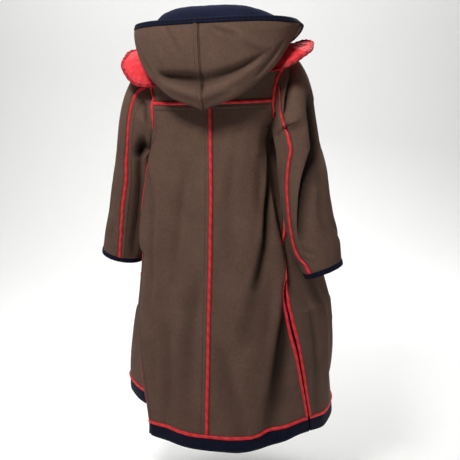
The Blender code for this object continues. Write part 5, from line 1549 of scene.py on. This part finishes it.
turn = np.full(across.shape, STITCH_LINE * HOOD_SEAM_SHARE * degree_per_metre)
normal = normal_of(hood_base, turn, across, 0.05, 0.001)
path = hood_point(turn, across) + normal * 0.0005
add_stitches("stitches_hood", path, normal, brown_thread)
angles = np.linspace(-edges[False, -1] + 0.02, edges[False, 1] - 0.02, 500)
for label, drop in (("stitches_band_top", 0.0065), ("stitches_band_low", 0.0365)):
    down = np.full(angles.shape, HEM_SEAM + drop)
    body_stitches(label, back_surface, angles, down, navy_thread)
print("stitch rows:", sum(name.startswith("stitches") for name in made_pieces))

# %% [markdown]
# ## Toggles and loops
#
# Three horn toggles close the front, each held by a cord loop. A toggle is turned: a profile of
# radii round its length, with a groove at the waist for the cord. The loop is a braided cord, which is
# a tube whose radius swells and shrinks as its strands pass over each other.

# %% Toggles and loops
TOGGLE_DOWNS = (0.34, 0.52, 0.70)
TOGGLE_LENGTH = 0.052
TOGGLE_RADIUS = 0.0075
TOGGLE_WAIST = 0.0055
TOGGLE_ASIDE = 0.003
TOGGLE_SINK = 0.0004
LOOP_REACH = 0.040
LOOP_SPREAD = 0.011
LOOP_RADIUS = 0.0022
STRAND_PITCH = 0.004


def turned_toggle(name, place, facing):
    """A turned body: a waisted profile with rounded ends, set on the front and facing outwards."""
    share = -np.cos(np.linspace(0.02, math.pi - 0.02, 41))
    waist = TOGGLE_WAIST + (TOGGLE_RADIUS - TOGGLE_WAIST) * ease(np.abs(share) * 1.5)
    radius = waist * np.sqrt(np.maximum(1 - np.abs(share) ** 7, 0.004))
    around = np.linspace(0, 2 * math.pi, 32, endpoint=False)
    along = np.repeat((share * TOGGLE_LENGTH / 2)[:, None], len(around), axis=1)
    right = unit(np.cross(facing, np.array([0.0, 0.0, 1.0])))
    upright = np.cross(right, facing)
    grid = place + along[..., None] * right
    ring = np.cos(around)[None, :, None] * facing + np.sin(around)[None, :, None] * upright
    grid = grid + radius[:, None, None] * ring
    return add_sweep(name, grid, horn, smooth=70.0)


def braided_cord(name, line, radius):
    """A tube whose outline swells where strands cross, once in four millimetres."""
    steps = np.linspace(0, len(line) - 1, 260)
    line = np.stack([np.interp(steps, np.arange(len(line)), line[:, k]) for k in range(3)], axis=-1)
    along = unit(np.gradient(line, axis=0))
    side = unit(np.cross(along, np.array([0.0, 1.0, 0.0])))
    other = np.cross(along, side)
    around = np.linspace(0, 2 * math.pi, 12, endpoint=False)
    length = lengths_along(line)[:, None]
    lay = 2 * math.pi * length / STRAND_PITCH
    strands = np.cos(lay + 2 * around) * np.cos(lay - 2 * around)
    radii = radius * (0.95 + 0.09 * strands)
    ring = side[:, None] * np.cos(around)[None, :, None] + other[:, None] * np.sin(around)[None, :, None]
    uv = np.stack(np.broadcast_arrays(around[None] * radius, length), axis=-1)
    return add_sweep(name, line[:, None] + ring * radii[..., None], navy_tape, smooth=70.0, uv=uv)


for number, down in enumerate(TOGGLE_DOWNS, start=1):
    step = float(pace(np.array(math.pi), np.array(down)))
    angle = np.array(math.pi - TOGGLE_ASIDE / step)
    facing = normal_of(left_front_surface, angle, np.array(down))
    facing = facing if facing[1] < 0 else -facing
    lift = LIFT + LOOP_RADIUS * 2 + TOGGLE_RADIUS - TOGGLE_SINK
    place = left_front_surface(angle, np.array(down)) + facing * lift
    own(turned_toggle("horn_toggle_%d" % number, place, facing), ["toggle_%d" % number])
    run = np.linspace(-1, 1, 61)
    away = LOOP_REACH * (0.28 - np.abs(run) ** 3) + TOGGLE_ASIDE
    rise = LOOP_SPREAD * np.sign(run) * np.minimum(1.0, np.abs(run) * 2.2) ** 0.7
    angles = math.pi - away / step
    line = left_front_surface(angles, down + rise)
    line = line + normal_of(left_front_surface, angles, down + rise) * (LIFT + LOOP_RADIUS)
    own(braided_cord("cord_loop_%d" % number, line, LOOP_RADIUS), ["loop_%d" % number])
print("pieces:", len(made_pieces))

# %% [markdown]
# ## Floor and light
#
# The light is that of a plain studio. A small lamp close to the coat, high on the camera's left, draws
# the folds and casts the hood's shadow. Weaker ones fill the right, the coat's front and its far side,
# and one lights the backdrop. An image of a sky would light it too, but lamps can be aimed, and they
# keep the wall white. The floor turns up into the wall without an edge.

# %% Floor, backdrop and lamps
FLOOR = -1.45
SWEEP_RADIUS = 1.6
SWEEP_FROM = 2.2
ROOM_LIGHT = 0.055


def backdrop():
    """A floor that turns up in a quarter circle behind the coat and goes on as a wall."""
    bend = np.linspace(0, math.pi / 2, 18)
    wall = np.full(6, SWEEP_FROM + SWEEP_RADIUS)
    away = np.concatenate([np.linspace(-6.0, 2.0, 12), SWEEP_FROM + SWEEP_RADIUS * np.sin(bend), wall])
    rise = np.concatenate([np.zeros(12), SWEEP_RADIUS * (1 - np.cos(bend)), np.linspace(2.0, 7.0, 6)])
    ahead = unit(np.array([-math.sin(math.radians(AZIMUTH)), math.cos(math.radians(AZIMUTH)), 0.0]))
    aside = np.array([ahead[1], -ahead[0], 0.0])
    wide = np.linspace(-9.0, 9.0, 10)
    grid = away[:, None, None] * ahead + wide[None, :, None] * aside
    grid[..., 2] = FLOOR + rise[:, None]
    mesh = bpy.data.meshes.new("backdrop")
    quads = grid_quads(len(away), len(wide), 0, False)[:, ::-1]
    mesh.from_pydata(grid.reshape(-1, 3).tolist(), [], [tuple(quad) for quad in quads.tolist()])
    mesh.shade_smooth()
    return bpy.data.objects.new("backdrop", mesh)


paper, tree, shader = new_finish("matt_backdrop_paper", Roughness=0.95)
grain = add_noise(tree, object_place(tree), 6, 3.0)
tree.links.new(add_ramp(tree, grain, (0.3, "#f6f6f5"), (0.7, "#f9f9f8")), shader.inputs["Base Color"])
floor = backdrop()
floor.data.materials.append(paper)
bpy.context.collection.objects.link(floor)

world = bpy.data.worlds.new("studio")
world.use_nodes = True
world.node_tree.nodes["Background"].inputs["Color"].default_value = (1.0, 1.0, 1.0, 1.0)
world.node_tree.nodes["Background"].inputs["Strength"].default_value = ROOM_LIGHT
bpy.context.scene.world = world


def add_lamp(name, place, aim, size, power):
    """A square soft lamp at a place, aimed at another: both are given as turn, distance and height."""
    data = bpy.data.lights.new(name, "AREA")
    data.size = size
    data.energy = power
    lamp = bpy.data.objects.new(name, data)
    spots = []
    for turn, distance, height in (place, aim):
        a = math.radians(AZIMUTH + turn)
        spots.append(np.array([distance * math.sin(a), -distance * math.cos(a), height]))
    back = unit(spots[0] - spots[1])
    right = unit(np.cross([0.0, 0.0, 1.0], back))
    matrix = np.eye(4)
    matrix[:3, :] = np.stack([right, np.cross(back, right), back, spots[0]], axis=1)
    lamp.matrix_world = Matrix(matrix.tolist())
    bpy.context.collection.objects.link(lamp)
    return lamp


MIDDLE = (0.0, 0.0, -0.45)
add_lamp("key_lamp", (-24.0, 1.40, 1.40), MIDDLE, 0.5, 39.0)
add_lamp("fill_lamp", (48.0, 2.6, 0.5), MIDDLE, 2.0, 2.5)
add_lamp("front_lamp", (165.0, 2.4, 1.2), MIDDLE, 1.6, 34.0)
add_lamp("side_lamp", (-110.0, 2.8, 0.9), MIDDLE, 1.8, 8.0)
add_lamp("backdrop_lamp", (180.0, 1.2, 3.0), (180.0, 3.6, -0.3), 2.6, 130.0)
bpy.context.scene.view_settings.view_transform = "Standard"

# %% [markdown]
# ## What the pieces were cut from
#
# Each panel was flat before it was sewn. The table gives how wide and long the flat cut is, and its
# area where it isn't a rectangle; width and length are printed beside the made piece's. Cloth may bend but not stretch.

# %% Flat cuts: width, length, area, how it is held, what it hangs from or lies on, what is sewn to it
CUTS = {
    "cloth_back_yoke": (0.531, 0.302, 0.094, "draped", (), ("cord_yoke", "stitches_yoke_left", "stitches_yoke_right")),
    "cloth_back_left": (0.298, 0.965, 0.238, "hung", ("cloth_back_yoke",),
                        ("cord_centre_back", "cord_side_left", "stitches_centre_back", "stitches_side_left")),
    "cloth_back_right": (0.314, 1.022, 0.244, "hung", ("cloth_back_yoke",), ("cord_side_right", "stitches_side_right")),
    "cloth_front_left": (0.749, 1.184, 0.483, "hung", ("cloth_back_yoke",),
                         ("cord_vent_left", "stitches_front_edge", "stitches_front_lap")),
    "cloth_front_right": (0.643, 1.239, 0.488, "hung", ("cloth_back_yoke",), ("cord_vent_right",)),
    "cloth_sleeve_top_left": (0.332, 0.626, 0.147, "hung", ("cloth_back_yoke", "cloth_front_left"),
                              ("cord_armhole_left", "cord_sleeve_left", "stitches_sleeve_left")),
    "cloth_sleeve_top_right": (0.371, 0.631, 0.155, "hung", ("cloth_back_yoke", "cloth_front_right"),
                               ("cord_armhole_right", "cord_sleeve_right", "stitches_sleeve_right")),
    "cloth_sleeve_under_left": (0.265, 0.569, 0.092, "hung", ("cloth_sleeve_top_left",), ()),
    "cloth_sleeve_under_right": (0.265, 0.564, 0.081, "hung", ("cloth_sleeve_top_right",), ()),
    "cloth_hood_left": (0.651, 0.615, 0.149, "draped", ("cloth_back_yoke",), ("stitches_hood",)),
    "cloth_hood_right": (0.661, 0.608, 0.152, "draped", ("cloth_back_yoke",), ()),
    "cloth_hood_lining": (0.990, 0.304, 0.140, "laid", ("cloth_hood_left", "cloth_hood_right"), ()),
    "cloth_shoulder_flap_left": (0.426, 0.213, 0.044, "draped", ("cloth_sleeve_top_left",), ("stitches_flap_left",)),
    "cloth_shoulder_flap_right": (0.407, 0.204, 0.040, "draped", ("cloth_sleeve_top_right",), ("stitches_flap_right",)),
    "flap_rim_left": (0.022, 0.426, None, "folded", ("cloth_shoulder_flap_left",), ()),
    "flap_rim_right": (0.022, 0.407, None, "folded", ("cloth_shoulder_flap_right",), ()),
    "binding_hood": (0.029, 1.229, None, "folded", ("cloth_hood_left", "cloth_hood_right"), ()),
    "binding_cuff_left": (0.030, 0.425, None, "folded", ("cloth_sleeve_top_left", "cloth_sleeve_under_left"), ()),
    "binding_cuff_right": (0.030, 0.393, None, "folded", ("cloth_sleeve_top_right", "cloth_sleeve_under_right"), ()),
    "band_hem_back": (0.529, 0.043, None, "hung", ("cloth_back_left", "cloth_back_right"),
                      ("cord_hem_back", "stitches_band_top", "stitches_band_low")),
    "band_hem_front_left": (0.762, 0.042, None, "hung", ("cloth_front_left",), ("cord_hem_front_left",)),
    "band_hem_front_right": (0.649, 0.042, None, "hung", ("cloth_front_right",), ("cord_hem_front_right",)),
    "cloth_vent_underlap": (0.032, 0.454, 0.012, "hung", ("cloth_front_right",), ()),
}
for name, (width, length, area, held, under, sewn) in CUTS.items():
    piece = made_pieces[name]
    print(name, "flat", (width, length), "made", np.round(made_sizes[name], 3))
